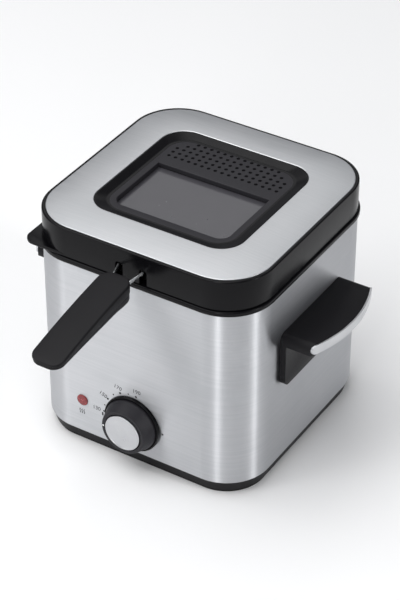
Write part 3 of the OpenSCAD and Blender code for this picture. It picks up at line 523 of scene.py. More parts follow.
# %% Collar and pot
low, high = span("rim_collar")
collar_half, collar_top = high.x, high.z
collar_low = span("outer_casing")[1].z
SHEET = 1.2
flange_low, flange_high = span("oil_pot")[1].z - SHEET, span("oil_pot")[1].z
collar = swept("collar_frame", [
    (collar_half, collar_low, 38.7, 0.8), (collar_half, collar_top, 38.7, 1.2),
    (89.8, collar_top, 40, 0.4), (89.8, flange_low, 40, 0), (82.5, flange_low, 32.7, 0.3),
    (82.5, collar_low, 32.7, 0.3), (93.8, collar_low, 33.8, 0), (93.8, low.z, 33.8, 0.3),
    (96.1, low.z, 36.1, 0.3), (96.1, collar_low, 36.1, 0)])
dress(collar, gloss_black, "body", "black_plastic", "rim_collar")

low, high = span("oil_pot")
pot = swept("deep_drawn_pot", [
    (20, low.z, 12, 0), (81, low.z, 31.2, 8.2), (81, flange_low, 31.2, 0.5),
    (high.x, flange_low, 39.7, 0.3), (high.x, flange_high, 39.7, 0.4), (79.8, flange_high, 30, 1.5),
    (79.8, low.z + SHEET, 30, 7), (20, low.z + SHEET, 12, 0)], ring=False)
dress(pot, pot_coat, "body", "pot_coating", "oil_pot")


# %% [markdown]
# ## The lid's frame
# One moulding makes the band, the narrow lip round the steel plate, the hidden seat under
# it and the black border that slopes down to the window. As a loft it is a single closed
# profile. Two notches for the basket's wires are then cut out of its front wall, and the
# lifting ear at the front left corner is added to its foot.

# %% The lid's frame
low, high = span("lid_frame")
band_low, band_half = low.z, -low.y
band_top, BAND_CORNER = 199.2, 38.4
SEAT, BEZEL_FOOT = 198.5, 196.0  # the plate's seat, level with the bezel's top, and the bezel's foot
frame_profile = [
    (band_half, band_low, BAND_CORNER, 0.6), (band_half, band_top, BAND_CORNER, 1.6),
    (95.2, band_top, 38, 0.5), (95.2, SEAT, 38, 0), (67, SEAT, 23, 0), (67, 200.2, 23, 0.2),
    (63.7, 200.2, 19.7, 0), (63.7, high.z, 19.7, 0.15), (63.2, high.z, 19.2, 1.2),
    (56.6, 198.56, 18.1, 3.5), (54.5, 198.56, 16, 0), (54.5, SEAT, 16, 0), (55.5, SEAT, 17, 0),
    (55.5, BEZEL_FOOT, 17, 0), (54.7, BEZEL_FOOT, 16.2, 0), (54.7, 194, 16.2, 0.3), (67, 194, 23, 0.3),
    (67, 196.5, 23, 0.3), (94.6, 196.5, 35.6, 0.8), (94.6, band_low, 35.6, 0.5)]
lid_band = swept("lid_band", frame_profile)


def carve(made, cutters, operation="DIFFERENCE"):
    """Applies exact booleans one after another and throws the tools away."""
    for tool in cutters:
        cut = made.modifiers.new("cut", "BOOLEAN")
        cut.operation, cut.solver, cut.object = operation, "EXACT", tool
    mesh = baked(made)
    made.modifiers.clear()
    old, made.data = made.data, mesh
    bpy.data.meshes.remove(old)
    mesh.name = made.name
    for tool in cutters:
        bpy.data.objects.remove(tool)


def prism(name, outline, z0, z1, soft=0.0):
    """An upright prism from a plan outline, with its edges rolled by soft millimetres."""
    bm = bmesh.new()
    foot = [bm.verts.new((x, y, z0)) for x, y in outline]
    bm.faces.new(foot[::-1])
    top = bmesh.ops.extrude_face_region(bm, geom=bm.faces[:])
    raised = [v for v in top["geom"] if isinstance(v, bmesh.types.BMVert)]
    bmesh.ops.translate(bm, vec=(0, 0, z1 - z0), verts=raised)
    bmesh.ops.recalc_face_normals(bm, faces=bm.faces)
    if soft:
        rims = [e for e in bm.edges if abs(e.verts[0].co.z - e.verts[1].co.z) < 1e-6]
        bmesh.ops.bevel(bm, geom=rims, offset=soft, segments=3, profile=0.5, affect="EDGES")
    return mesh_object(name, bm)


def rounded_notch(x, width, top):
    """Side outline of a wire notch: straight sides under a round head."""
    radius = width / 2 - 0.6
    arch = [(x + radius * math.cos(a) + (0.6 if math.cos(a) > 0 else -0.6),
             top - radius + radius * math.sin(a)) for a in [math.pi * k / 12 for k in range(13)]]
    return [(x + width / 2, band_low - 2)] + arch + [(x - width / 2, band_low - 2)]


WIRE_X = 10.4
notches = []
for side in (-1, 1):
    tool = prism("notch", rounded_notch(side * WIRE_X, 6.6, 187.2), -5, 8)
    tool.data.transform(Matrix.Translation((0, -band_half * MM, 0)) @ Matrix.Rotation(math.pi / 2, 4, "X"))
    notches.append(tool)
carve(lid_band, notches)

centre, outer, wall = -(band_half - BAND_CORNER), 9, 37.2
ear = [(centre, -band_half)] + [
    (-band_half + outer - outer * math.sin(a), -band_half + outer - outer * math.cos(a))
    for a in [math.pi / 2 * k / 10 for k in range(11)]] + [(-band_half, centre)] + [
    (centre + wall * math.cos(a), centre + wall * math.sin(a))
    for a in [math.pi + math.pi / 2 * k / 16 for k in range(17)]]
ear_tab = prism("ear", ear, band_low, band_low + 2.6, 0.5)
CORNERS = [(sx, sy) for sx in (-1, 1) for sy in (-1, 1)]
POST_AT = 78.6
posts = [prism("post", circle(sx * POST_AT, sy * POST_AT, 4, 24), 191.4, 196.9, 0.3) for sx, sy in CORNERS]


def joined(name, made, others):
    """Puts several meshes in one object, as parts of one moulding."""
    bm = bmesh.new()
    for part in [made, *others]:
        bm.from_mesh(part.data)
        if part is not made:
            bpy.data.objects.remove(part)
    bm.to_mesh(made.data)
    bm.free()
    made.name = name
    soften(made.data)
    return made


joined("lid_band", lid_band, [ear_tab, *posts])
dress(lid_band, gloss_black, "lid", "black_gloss", "lid_frame")


# %% [markdown]
# ## The lid's steel plate
# A pressing 1 mm thick: flat at its edge, rising slightly towards the recess, with both
# rims turned over a small radius. That radius is what draws the bright line round the
# recess.

# %% The lid's steel plate
low, high = span("lid_plate")
plate = swept("pressed_lid_plate", [
    (high.x, low.z, 37.8, 0.2), (high.x, low.z + 1, 37.8, 0.5), (64, high.z, 20, 0.9),
    (64, high.z - 1.6, 20, 0.1), (64.6, high.z - 1.6, 20.6, 0.1), (66, high.z - 1.2, 22, 0)])
dress(plate, steel_lid, "lid", "brushed_lid", "lid_plate")


# %% [markdown]
# ## Growing pieces from rules
# What repeats is left to Geometry Nodes: one rule, a few named sizes, and the pattern
# follows. Each tree is built here, set on a small seed mesh, evaluated once and turned into
# a plain mesh, so nothing depends on a live modifier afterwards.

# %% Growing pieces from rules
def rule(name, sizes):
    """A Geometry Nodes tree with named inputs. sizes maps a name to its socket kind."""
    tree = bpy.data.node_groups.new(name, "GeometryNodeTree")
    tree.interface.new_socket("Geometry", in_out="INPUT", socket_type="NodeSocketGeometry")
    for label, kind in sizes.items():
        tree.interface.new_socket(label, in_out="INPUT", socket_type="NodeSocket" + kind)
    tree.interface.new_socket("Geometry", in_out="OUTPUT", socket_type="NodeSocketGeometry")
    return tree, add(tree, "NodeGroupInput").outputs


def end_rule(tree, shape, material):
    """Every rule ends alike: instances made real and one material."""
    real = add(tree, "GeometryNodeRealizeInstances", {"Geometry": shape})
    painted = add(tree, "GeometryNodeSetMaterial", {"Geometry": real.outputs[0], "Material": material})
    add(tree, "NodeGroupOutput", {0: painted.outputs[0]})


def grow(name, seed, tree, sharp=40, **sizes):
    """Evaluates a rule on a seed mesh and returns the result as a plain mesh object."""
    host = put(name + "_seed", seed)
    wanted = {key.replace("_", " ").capitalize(): value for key, value in sizes.items()}
    step = host.modifiers.new("rule", "NODES")
    step.node_group = tree
    for item in tree.interface.items_tree:
        if item.in_out == "INPUT" and item.name in wanted:
            step[item.identifier] = wanted.pop(item.name)
    assert not wanted, wanted
    mesh = baked(host)
    bpy.data.objects.remove(host)
    soften(mesh, sharp)
    mesh.name = name
    return put(name, mesh)


def points_mesh(name, points, edges=()):
    mesh = bpy.data.meshes.new(name)
    mesh.from_pydata([Vector(p) * MM for p in points], list(edges), [])
    return mesh


print("rules are ready")


# %% [markdown]
# ## Window bezel and steam grille
# The bezel is a flat moulding with a window opening and 79 steam holes. The holes are a
# grid with its two rear corners clipped, so the rule makes a grid, drops the points beyond
# the clip, puts a cutter on each and takes them all out of the plate in one boolean. The
# window's edge is then rolled by hand, since only that edge is soft on the moulding.

# %% The grille's rule
grille, given = rule("steam_grille", {"Pitch": "Float", "Hole diameter": "Float", "Columns": "Int",
                                      "Rows": "Int", "First row": "Float", "Plate level": "Float",
                                      "Clip": "Float", "Material": "Material"})
last_column = add(grille, "ShaderNodeMath", {0: given["Columns"], 1: 1}, operation="SUBTRACT")
last_row = add(grille, "ShaderNodeMath", {0: given["Rows"], 1: 1}, operation="SUBTRACT")
wide = add(grille, "ShaderNodeMath", {0: last_column.outputs[0], 1: given["Pitch"]}, operation="MULTIPLY")
deep = add(grille, "ShaderNodeMath", {0: last_row.outputs[0], 1: given["Pitch"]}, operation="MULTIPLY")
lattice = add(grille, "GeometryNodeMeshGrid", {"Size X": wide.outputs[0], "Size Y": deep.outputs[0],
                                               "Vertices X": given["Columns"], "Vertices Y": given["Rows"]})
at = add(grille, "ShaderNodeSeparateXYZ", {0: add(grille, "GeometryNodeInputPosition").outputs[0]})
aside = add(grille, "ShaderNodeMath", {0: at.outputs["X"]}, operation="ABSOLUTE")
beyond = add(grille, "ShaderNodeMath", {0: aside.outputs[0], 1: at.outputs["Y"]}, operation="ADD")
steps = add(grille, "ShaderNodeMath", {0: beyond.outputs[0], 1: given["Pitch"]}, operation="DIVIDE")
clipped = add(grille, "ShaderNodeMath", {0: steps.outputs[0], 1: given["Clip"]}, operation="GREATER_THAN")
kept = add(grille, "GeometryNodeDeleteGeometry", {"Geometry": lattice.outputs["Mesh"],
                                                  "Selection": clipped.outputs[0]}, domain="POINT")
half_deep = add(grille, "ShaderNodeMath", {0: deep.outputs[0], 1: 0.5}, operation="MULTIPLY")
middle = add(grille, "ShaderNodeMath", {0: half_deep.outputs[0], 1: given["First row"]}, operation="ADD")
home = add(grille, "ShaderNodeCombineXYZ", {"Y": middle.outputs[0], "Z": given["Plate level"]})
moved = add(grille, "GeometryNodeTransform", {"Geometry": kept.outputs[0], "Translation": home.outputs[0]})
radius = add(grille, "ShaderNodeMath", {0: given["Hole diameter"], 1: 0.5}, operation="MULTIPLY")
punch = add(grille, "GeometryNodeMeshCylinder",
            {"Vertices": 16, "Radius": radius.outputs[0], "Depth": 8 * MM})
seats = add(grille, "GeometryNodeInstanceOnPoints", {"Points": moved.outputs[0],
                                                     "Instance": punch.outputs["Mesh"]})
tools = add(grille, "GeometryNodeRealizeInstances", {"Geometry": seats.outputs[0]})
holed = add(grille, "GeometryNodeMeshBoolean", {"Mesh 1": given["Geometry"], "Mesh 2": tools.outputs[0]},
            operation="DIFFERENCE", solver="EXACT")
end_rule(grille, holed.outputs["Mesh"], given["Material"])
print("grille rule has", len(grille.nodes), "nodes")


# %% The bezel
WINDOW_HALF, WINDOW_REAR = 49.2, 16.2


def window_outline(grow_by):
    """Plan of the window: its two front corners are round, its rear corners nearly square."""
    w, front, rear, r = WINDOW_HALF + grow_by, -47.8 - grow_by, WINDOW_REAR + grow_by, 9 + grow_by
    out = [(w, rear), (-w, rear)]
    for cx, start in ((-w + r, math.pi), (w - r, 1.5 * math.pi)):
        out += [(cx + r * math.cos(start + a), front + r + r * math.sin(start + a))
                for a in [math.pi / 2 * k / 12 for k in range(13)]]
    return out


bm = bmesh.new()
bezel_half = span("window_bezel")[1].x
bezel_loops = [loop(p.x, p.y, p.z) for p in filleted(
    [(30, BEZEL_FOOT, 8, 0), (bezel_half, BEZEL_FOOT, 16.9, 0.3), (bezel_half, SEAT, 16.9, 0.1),
     (30, SEAT, 8, 0)], False)]
loft(bm, bezel_loops, False)
blank = mesh_object("bezel_blank", bm)
carve(blank, [prism("wall", window_outline(2), 194.6, 197)], "UNION")
carve(blank, [prism("opening", window_outline(0), 190, 203)])
bezel = grow("window_bezel_moulding", blank.data.copy(), grille, Pitch=6 * MM, Hole_diameter=3 * MM,
             Columns=17, Rows=5, First_row=28.8 * MM, Plate_level=197 * MM, Clip=8.5, Material=satin_black)
bpy.data.objects.remove(blank)
bm = bmesh.new()
bm.from_mesh(bezel.data)
reach_x, reach_y, near = (WINDOW_HALF + 0.1) * MM, (WINDOW_REAR + 0.1) * MM, 1e-5
rim = [e for e in bm.edges if len(e.link_faces) == 2 and e.calc_face_angle(0) > 1.2
       and all(abs(v.co.z - SEAT * MM) < near and abs(v.co.x) < reach_x and v.co.y < reach_y
               for v in e.verts)]
bmesh.ops.bevel(bm, geom=rim, offset=0.7 * MM, segments=3, profile=0.5, affect="EDGES", clamp_overlap=False)
bm.to_mesh(bezel.data)
bm.free()
bezel.data.set_sharp_from_angle(angle=math.radians(40))
dress(bezel, satin_black, "lid", "bezel_plastic", "window_bezel")


# %% [markdown]
# ## Screws
# Every screw is the same pan-head cross screw in a different size, so one rule makes them
# all: a domed head with a cross pressed into it, and a shank, put on each seed point and
# turned to face out of its hole. A set never spans two moving bodies.

# %% The screws' rule
screws, given = rule("cross_head_screws", {"Head diameter": "Float", "Head height": "Float",
                                           "Shank diameter": "Float", "Length": "Float",
                                           "Turn": "Vector", "Material": "Material"})
head_r = add(screws, "ShaderNodeMath", {0: given["Head diameter"], 1: 0.5}, operation="MULTIPLY")
dome_r = add(screws, "ShaderNodeMath", {0: given["Head diameter"], 1: 0.4}, operation="MULTIPLY")
head = add(screws, "GeometryNodeMeshCone", {
    "Vertices": 28, "Radius Top": dome_r.outputs[0], "Radius Bottom": head_r.outputs[0],
    "Depth": given["Head height"]})
slot_long = add(screws, "ShaderNodeMath", {0: given["Head diameter"], 1: 0.52}, operation="MULTIPLY")
slot_wide = add(screws, "ShaderNodeMath", {0: given["Head diameter"], 1: 0.12}, operation="MULTIPLY")
slot_deep = add(screws, "ShaderNodeMath", {0: given["Head height"], 1: 1.1}, operation="MULTIPLY")
lift = add(screws, "ShaderNodeCombineXYZ", {"Z": given["Head height"]})
blades = []
for long, wide in (("X", "Y"), ("Y", "X")):
    size = add(screws, "ShaderNodeCombineXYZ", {long: slot_long.outputs[0], wide: slot_wide.outputs[0],
                                                "Z": slot_deep.outputs[0]})
    blade = add(screws, "GeometryNodeMeshCube", {"Size": size.outputs[0]})
    raised = add(screws, "GeometryNodeTransform", {"Geometry": blade.outputs["Mesh"],
                                                   "Translation": lift.outputs[0]})
    blades.append(raised.outputs[0])
first = add(screws, "GeometryNodeMeshBoolean", {"Mesh 1": head.outputs["Mesh"], "Mesh 2": blades[0]},
            operation="DIFFERENCE", solver="EXACT")
cross = add(screws, "GeometryNodeMeshBoolean", {"Mesh 1": first.outputs["Mesh"], "Mesh 2": blades[1]},
            operation="DIFFERENCE", solver="EXACT")
shank_r = add(screws, "ShaderNodeMath", {0: given["Shank diameter"], 1: 0.5}, operation="MULTIPLY")
shank = add(screws, "GeometryNodeMeshCylinder", {"Vertices": 16, "Radius": shank_r.outputs[0],
                                                 "Depth": given["Length"]})
down = add(screws, "ShaderNodeMath", {0: given["Length"], 1: -0.5}, operation="MULTIPLY")
below = add(screws, "ShaderNodeCombineXYZ", {"Z": down.outputs[0]})
lowered = add(screws, "GeometryNodeTransform", {"Geometry": shank.outputs["Mesh"],
                                                "Translation": below.outputs[0]})
whole = add(screws, "GeometryNodeJoinGeometry", {0: cross.outputs["Mesh"]})
screws.links.new(lowered.outputs[0], whole.inputs[0])
placed = add(screws, "GeometryNodeInstanceOnPoints", {
    "Points": given["Geometry"], "Instance": whole.outputs[0], "Rotation": given["Turn"]})
end_rule(screws, placed.outputs[0], given["Material"])
print("screw rule has", len(screws.nodes), "nodes")


# %% The screw sets
def screw_set(name, points, turn, head, height, shank, length, body, node):
    """Screws on points. Without a node they wait to be joined with others of their set."""
    made = grow(name, points_mesh(name, points), screws, Head_diameter=head * MM, Head_height=height * MM,
                Shank_diameter=shank * MM, Length=length * MM, Turn=turn, Material=zinc_screw)
    return dress(made, zinc_screw, body, "zinc_screw", node) if node else made


quarter = math.pi / 2
seat_x, low = 84.2, span("base_screws")[0]
screw_set("base_screw_set", [(sx * seat_x, sy * 46, low.z + 1) for sx, sy in CORNERS], (math.pi, 0, 0),
          6, 2, 3.2, 22, "body", "base_screws")
low = span("liner_screws")[0]
screw_set("liner_screw_set", [(sx * POST_AT, sy * POST_AT, low.z + 0.7) for sx, sy in CORNERS],
          (math.pi, 0, 0), 5.6, 1.4, 2.4, 5.6, "lid", "liner_screws")
wall_x, screw_y, screw_z = 95.2, 26, span("right_handle")[0].z + 16
left, right = (screw_set(name, [(sx * wall_x, sy * screw_y, screw_z) for sy in (-1, 1)],
                         (0, -sx * quarter, 0), 6.8, 2, 3.2, 5.2, "body", None)
               for name, sx in (("left_handle_screws", -1), ("handle_screw_set", 1)))
joined("handle_screw_set", right, [left])
dress(right, zinc_screw, "body", "zinc_screw", "handle_screws")


# %% [markdown]
# ## Wires, leads and the capillary
# Each of these is a round section that follows a path and turns with a bend radius, never
# at a point. The rule takes the path's corners, rounds them and sweeps a circle along.

# %% The bent wire rule
bent, given = rule("bent_round_wire", {"Diameter": "Float", "Bend radius": "Float", "Material": "Material"})
path = add(bent, "GeometryNodeMeshToCurve", {"Mesh": given["Geometry"]})
rounded = add(bent, "GeometryNodeFilletCurve", {"Curve": path.outputs[0], "Radius": given["Bend radius"],
                                                "Limit Radius": True, "Count": 8}, mode="POLY")
wire_r = add(bent, "ShaderNodeMath", {0: given["Diameter"], 1: 0.5}, operation="MULTIPLY")
round_wire = add(bent, "GeometryNodeCurvePrimitiveCircle", {"Resolution": 16, "Radius": wire_r.outputs[0]})
skin = add(bent, "GeometryNodeCurveToMesh", {
    "Curve": rounded.outputs[0], "Profile Curve": round_wire.outputs[0], "Fill Caps": True})
end_rule(bent, skin.outputs[0], given["Material"])


def bent_wires(name, paths, diameter, bend, material, body, slot, node):
    """Round wires along paths of corners, as one piece."""
    points, edges = [], []
    for corners in paths:
        edges += [(len(points) + i, len(points) + i + 1) for i in range(len(corners) - 1)]
        points += corners
    made = grow(name, points_mesh(name, points, edges), bent, Diameter=diameter * MM, Bend_radius=bend * MM,
                Material=material)
    return dress(made, material, body, slot, node)


slot_z, tilt = 185.0, math.tan(math.radians(7))
levels = {y: slot_z + tilt * (y + 97) for y in (-87, -98, -115, -131)}
WIRE_BEND = 6
prongs = [[(side * WIRE_X, -75.8, 117.1), (side * WIRE_X, -75.8, 180.2), (side * WIRE_X, -87, levels[-87]),
           (side * WIRE_X, -98, levels[-98]), (side * 6.4, -115, levels[-115]),
           (side * 6.4, -131, levels[-131])] for side in (-1, 1)]
bent_wires("basket_wires", prongs, 2.6, WIRE_BEND, drawn_wire, "basket", "wire_steel", "handle_prongs")
DIAL_X, DIAL_Z = -1.5, 40
low, high = span("thermostat_bulb")
bulb_y, bulb_z = (low.y + high.y) / 2, low.z + 3
tube = [(DIAL_X, -83.2, DIAL_Z + 13), (DIAL_X, -83.2, DIAL_Z + 16.5), (DIAL_X, bulb_y, DIAL_Z + 19),
        (-38, bulb_y, bulb_z - 6), (-38, bulb_y, bulb_z), (-30, bulb_y, bulb_z)]
bent_wires("capillary_tube", [tube], 1.6, 3, bright_copper, "body", "copper", "capillary")
print("wires turn with a", WIRE_BEND, "mm bend")


# %% [markdown]
# ## The leads inside
# Three leads in woven sleeves join the terminal block, the thermostat and the
# heater. They are out of sight under the pot, but they are there when it is opened.

# %% The leads inside
term = span("terminal_block")[0]
lead_z, heel = term.z + 8, term.y
tx, ty = 48 * math.sin(math.radians(16)), 48 * math.cos(math.radians(16))
shield = span("heat_shield")[0].z
leads = [
    [(term.x + 9, heel + 6, lead_z), (term.x + 9, heel - 8, lead_z), (tx, ty, lead_z),
     (tx, ty, shield - 9.1)],
    [(term.x + 23, heel + 6, lead_z), (term.x + 23, heel - 8, lead_z), (term.x + 23, -60, lead_z),
     (4.5, -62.2, lead_z), (4.5, -62.2, 31.4), (4.5, -65.1, 31.4)],
    [(-7.5, -65.1, 31.4), (-7.5, -61.2, 31.4), (-tx, -50, lead_z + 3), (-tx, ty, lead_z + 3),
     (-tx, ty, shield - 9.1)]]
bent_wires("sleeved_leads", leads, 2.4, 5, sleeve, "body", "lead_sleeve", "internal_leads")


# %% [markdown]
# ## Basket
# A frying basket is wire cloth: straight wires crossing at even steps, bent over the
# corner from wall to floor. The seed is the cloth's lattice, one edge for each stretch of
# wire, and the rule turns every edge into a thin round wire. Real cloth is nearer 2.5 mm
# between wires. It is drawn at 4 mm, so that single wires can be made out.

# %% The basket's lattice
low, high = span("basket_tub")
half, corner, foot, top = high.x - 0.6, 14.4, low.z + 0.6, high.z
pitch, roll = 4.0, 5.0


def wall_points(z, inset):
    """Evenly spaced points round the basket at one level."""
    h, r = half - inset, corner - inset
    straight, bend = 2 * (h - r), math.pi / 2 * r
    per_side, per_bend = round(2 * (half - corner) / pitch), round(math.pi / 2 * corner / pitch)
    out = []
    for quarter, (sx, sy) in enumerate(((1, 1), (-1, 1), (-1, -1), (1, -1))):
        a0, a1 = math.pi / 2 * quarter, math.pi / 2 * (quarter + 1)
        centre = Vector((sx * (h - r), sy * (h - r), z))
        out += [centre + r * Vector((math.cos(a0 + (a1 - a0) * i / per_bend),
                                     math.sin(a0 + (a1 - a0) * i / per_bend), 0)) for i in range(per_bend)]
        start = centre + r * Vector((math.cos(a1), math.sin(a1), 0))
        run = Vector((-math.sin(a1), math.cos(a1), 0))
        out += [start + run * straight * i / per_side for i in range(per_side)]
    return out


levels = [top - i * pitch for i in range(int((top - foot - roll) / pitch) + 1)] + [foot + roll]
rows = [(z, 0.0) for z in levels]
rows += [(foot + roll * (1 - math.sin(a)), roll * (1 - math.cos(a)))
         for a in (math.pi / 6, math.pi / 3, math.pi / 2)]
points, edges = [], []
count = len(wall_points(0, 0))
for r, (z, inset) in enumerate(rows):
    points += wall_points(z, inset)
    for i in range(count):
        edges.append((r * count + i, r * count + (i + 1) % count))
        if r:
            edges.append(((r - 1) * count + i, r * count + i))


def reach(offset):
    """Half length of a floor wire that runs offset mm from the middle."""
    h, r = half - roll, corner - roll
    past = max(abs(offset) - (h - r), 0)
    return h - r + math.sqrt(max(r * r - past * past, 0))


lines = int((half - roll) / pitch)
for k in range(-lines, lines + 1):
    a, b = k * pitch, reach(k * pitch)
    for start, end in (((a, -b, foot), (a, b, foot)), ((-b, a, foot), (b, a, foot))):
        edges.append((len(points), len(points) + 1))
        points += [start, end]
print(len(edges), "stretches of wire")


# %% The wire cloth
cloth, given = rule("wire_cloth", {"Wire diameter": "Float", "Material": "Material"})
strand = add(cloth, "GeometryNodeMeshToCurve", {"Mesh": given["Geometry"]})
cloth_r = add(cloth, "ShaderNodeMath", {0: given["Wire diameter"], 1: 0.5}, operation="MULTIPLY")
thin_wire = add(cloth, "GeometryNodeCurvePrimitiveCircle", {"Resolution": 5, "Radius": cloth_r.outputs[0]})
wires = add(cloth, "GeometryNodeCurveToMesh",
            {"Curve": strand.outputs[0], "Profile Curve": thin_wire.outputs[0]})
end_rule(cloth, wires.outputs[0], given["Material"])
basket = grow("basket_wire_cloth", points_mesh("lattice", points, edges), cloth, Wire_diameter=0.9 * MM,
              Material=drawn_wire, sharp=80)
dress(basket, drawn_wire, "basket", "wire_steel", "basket_tub")
low, high = span("basket_rim")
outer, inner = high.x, high.x - 3.6
hoop = swept("basket_hoop", [(outer, low.z, 16.2, 1.1), (outer, high.z, 16.2, 1.1),
                             (inner, high.z, 12.6, 1.1), (inner, low.z, 12.6, 1.1)], sharp=80)
dress(hoop, drawn_wire, "basket", "wire_steel", "basket_rim")


# %% [markdown]
# ## Grip
# The grip is two shells on the wires' ends: an upper one with a long crowned top, and a
# lower one with a step where the fingers reach. Each is lofted along its length, one
# section after another. The plan narrows round both ends, and each section has the soft
# shoulder that runs round the top edge of the moulding.

# %% Grip shells
root_y, tip_y, grip_half = span("grip_upper")[1].y, span("grip_upper")[0].y, 13.3
GRIP_LONG, CROWN_R, ROOT_R, TIP_R, LEAN = 96, 690, 9, 8, math.radians(6)
arc_y = root_y + CROWN_R * math.sin(LEAN)
arc_z = 188.7 - CROWN_R * math.cos(LEAN)


def grip_top(y):
    """The crowned top, part of one long arc."""
    return arc_z + math.sqrt(CROWN_R ** 2 - (y - arc_y) ** 2)


def grip_part(y):
    """Where the two shells meet."""
    return 180.9 - 11.2 * (root_y - y) / GRIP_LONG


def grip_under(y):
    """The underside falls towards the tip, with a small step down near the root."""
    return 174.5 - 7 * (root_y - y) / GRIP_LONG - min(max((y + 132) / 4, 0), 1)


def half_width(y):
    """Half the plan's width at y, narrowing round the root and the tip."""
    for end, r, way in ((root_y, ROOT_R, 1), (tip_y, TIP_R, -1)):
        past = way * (y - (end - way * r))
        if past > 0:
            return grip_half - r + math.sqrt(max(r * r - past * past, 0.02))
    return grip_half


def stations():
    """Where the cross-sections stand: close together round both ends, even between them."""
    ends = [root_y - ROOT_R + ROOT_R * math.sin(math.pi / 2 * k / 10) for k in range(10, -1, -1)]
    tips = [tip_y + TIP_R - TIP_R * math.sin(math.pi / 2 * k / 10) for k in range(11)]
    inner = [root_y - ROOT_R - (root_y - ROOT_R - tip_y - TIP_R) * k / 18 for k in range(1, 18)]
    return ends + inner + tips


def section(y, z0, z1, soft_low, soft_high, inset, steps=6):
    """One cross-section of a shell: flat sides with a soft lower and upper shoulder."""
    w = max(half_width(y) - inset, 0.1)
    lower, upper = (min(soft, 0.8 * w, 0.48 * (z1 - z0)) for soft in (soft_low, soft_high))
    out = []
    for sx, r, z, start in ((1, lower, z0, -90), (1, upper, z1, 0),
                            (-1, upper, z1, 90), (-1, lower, z0, 180)):
        cz = z + r if z == z0 else z - r
        for k in range(steps + 1):
            a = math.radians(start + 90 * k / steps)
            out.append(Vector((sx * (w - r) + r * math.cos(a), y, cz + r * math.sin(a))))
    return out


def shell(name, low_at, high_at, soft_low, soft_high, inset=0):
    """Half of the grip between two heights, each given along its length."""
    bm = bmesh.new()
    loft(bm, [section(y, low_at(y), high_at(y), soft_low, soft_high, inset) for y in stations()], False)
    return mesh_object(name, bm, 50)


upper = shell("grip_upper_shell", grip_part, grip_top, 0.5, 1.5)
lower = shell("grip_lower_shell", grip_under, lambda y: grip_part(y) - 0.25, 1.6, 0.6, 0.6)
SCREWS_AT = (root_y - 11, tip_y + 18)
wells = []
for y in SCREWS_AT:
    wells.append(prism("well", circle(0, y, 3, 28), grip_under(y) - 5, grip_under(y) + 1.5))
carve(lower, wells)
lower.data.set_sharp_from_angle(angle=math.radians(50))
dress(upper, matt_black, "basket", "black_plastic", "grip_upper")
dress(lower, matt_black, "basket", "black_plastic", "grip_lower")
root_screw, tip_screw = (screw_set("grip_screw", [(0, y, grip_under(y) + 1.4)], (math.pi, 0, 0), 5.6, 1.1, 3,
                                   grip_top(y) - grip_under(y) - 3.4, "basket", None) for y in SCREWS_AT)
joined("grip_screw_set", root_screw, [tip_screw])
dress(root_screw, zinc_screw, "basket", "zinc_screw", "grip_screws")


# %% [markdown]
# ## Turned pieces
# The knob, its cap, the bezel round it and the lamp are all round about a line along Y.
# Each is a radius and depth profile spun round that line, with fillets like the lofts.

# %% Turned pieces
def turned(name, x, z, profile, ring=False, sharp=40, count=72):
    """Spins a profile of (radius, y, fillet) about a line along Y."""
    bm = bmesh.new()
    spun = filleted([(r, y, 0, f) for r, y, f in profile], ring)
    loft(bm, [[Vector((u, p.y, v)) for u, v in circle(x, z, max(p.x, 0.02), count)] for p in spun], ring)
    return mesh_object(name, bm, sharp)


FACE = -97
low, high = span("knob_body")
knob = turned("knob_drum", DIAL_X, DIAL_Z, [
    (3, high.y, 0), (22.5, high.y, 0.5), (22.5, high.y - 3, 1.5), (19.6, low.y + 1.6, 1.2),
    (19.0, low.y, 1.1), (16.3, low.y, 0.5), (15.6, low.y + 1.6, 0.2), (3, low.y + 1.6, 0)])
dress(knob, satin_black, "control_knob", "black_gloss", "knob_body")
low, high = span("knob_cap")
cap = turned("knob_cap_disc", DIAL_X, DIAL_Z, [
    (1, high.y, 0), (15.4, high.y, 0.2), (15.4, low.y, 0.5), (14.6, low.y, 0.3), (14.3, low.y + 0.25, 0.2),
    (1, low.y + 0.25, 0)])
dress(cap, satin_silver, "control_knob", "silver_trim", "knob_cap")
low, high = span("knob_pointer")
dot = turned("knob_pointer_dot", (low.x + high.x) / 2, DIAL_Z, [
    (0.1, high.y, 0), (0.85, high.y, 0.1), (0.85, low.y, 0.3), (0.1, low.y, 0)], count=24)
dress(dot, white_ink, "control_knob", "white_mark", "knob_pointer")
low, high = span("dial_bezel")
bezel_ring = turned("dial_bezel_ring", DIAL_X, DIAL_Z, [
    (24.5, FACE, 0.2), (24.5, low.y, 0.8), (23.0, low.y, 0.4), (23.0, FACE - 0.9, 0.3),
    (5.4, FACE - 0.9, 0.2), (5.4, FACE, 0)], ring=True)
dress(bezel_ring, gloss_black, "body", "black_gloss", "dial_bezel")
low, high = span("lamp_lens")
lamp = turned("lamp_lens_dome", -48, low.z + 4.9, [
    (0.3, high.y, 0), (3.9, high.y, 0.3), (3.9, FACE, 0), (4.9, FACE, 0.1), (4.9, low.y + 0.4, 0.5),
    (3.4, low.y, 1.2), (0.3, low.y, 0)], count=48)
dress(lamp, red_lens, "body", "lens_red", "lamp_lens")


# %% [markdown]
# ## Side handles and their trims
# The two handles are one moulding and its mirror image. The measured shape is right, but
# its edges are sharp, so a welded copy gets a rolled edge from a bevel. That is quicker
# than modelling it again, and it keeps every size. The trims, the cord's grommet and the
# basket's bracket get theirs in the same way.

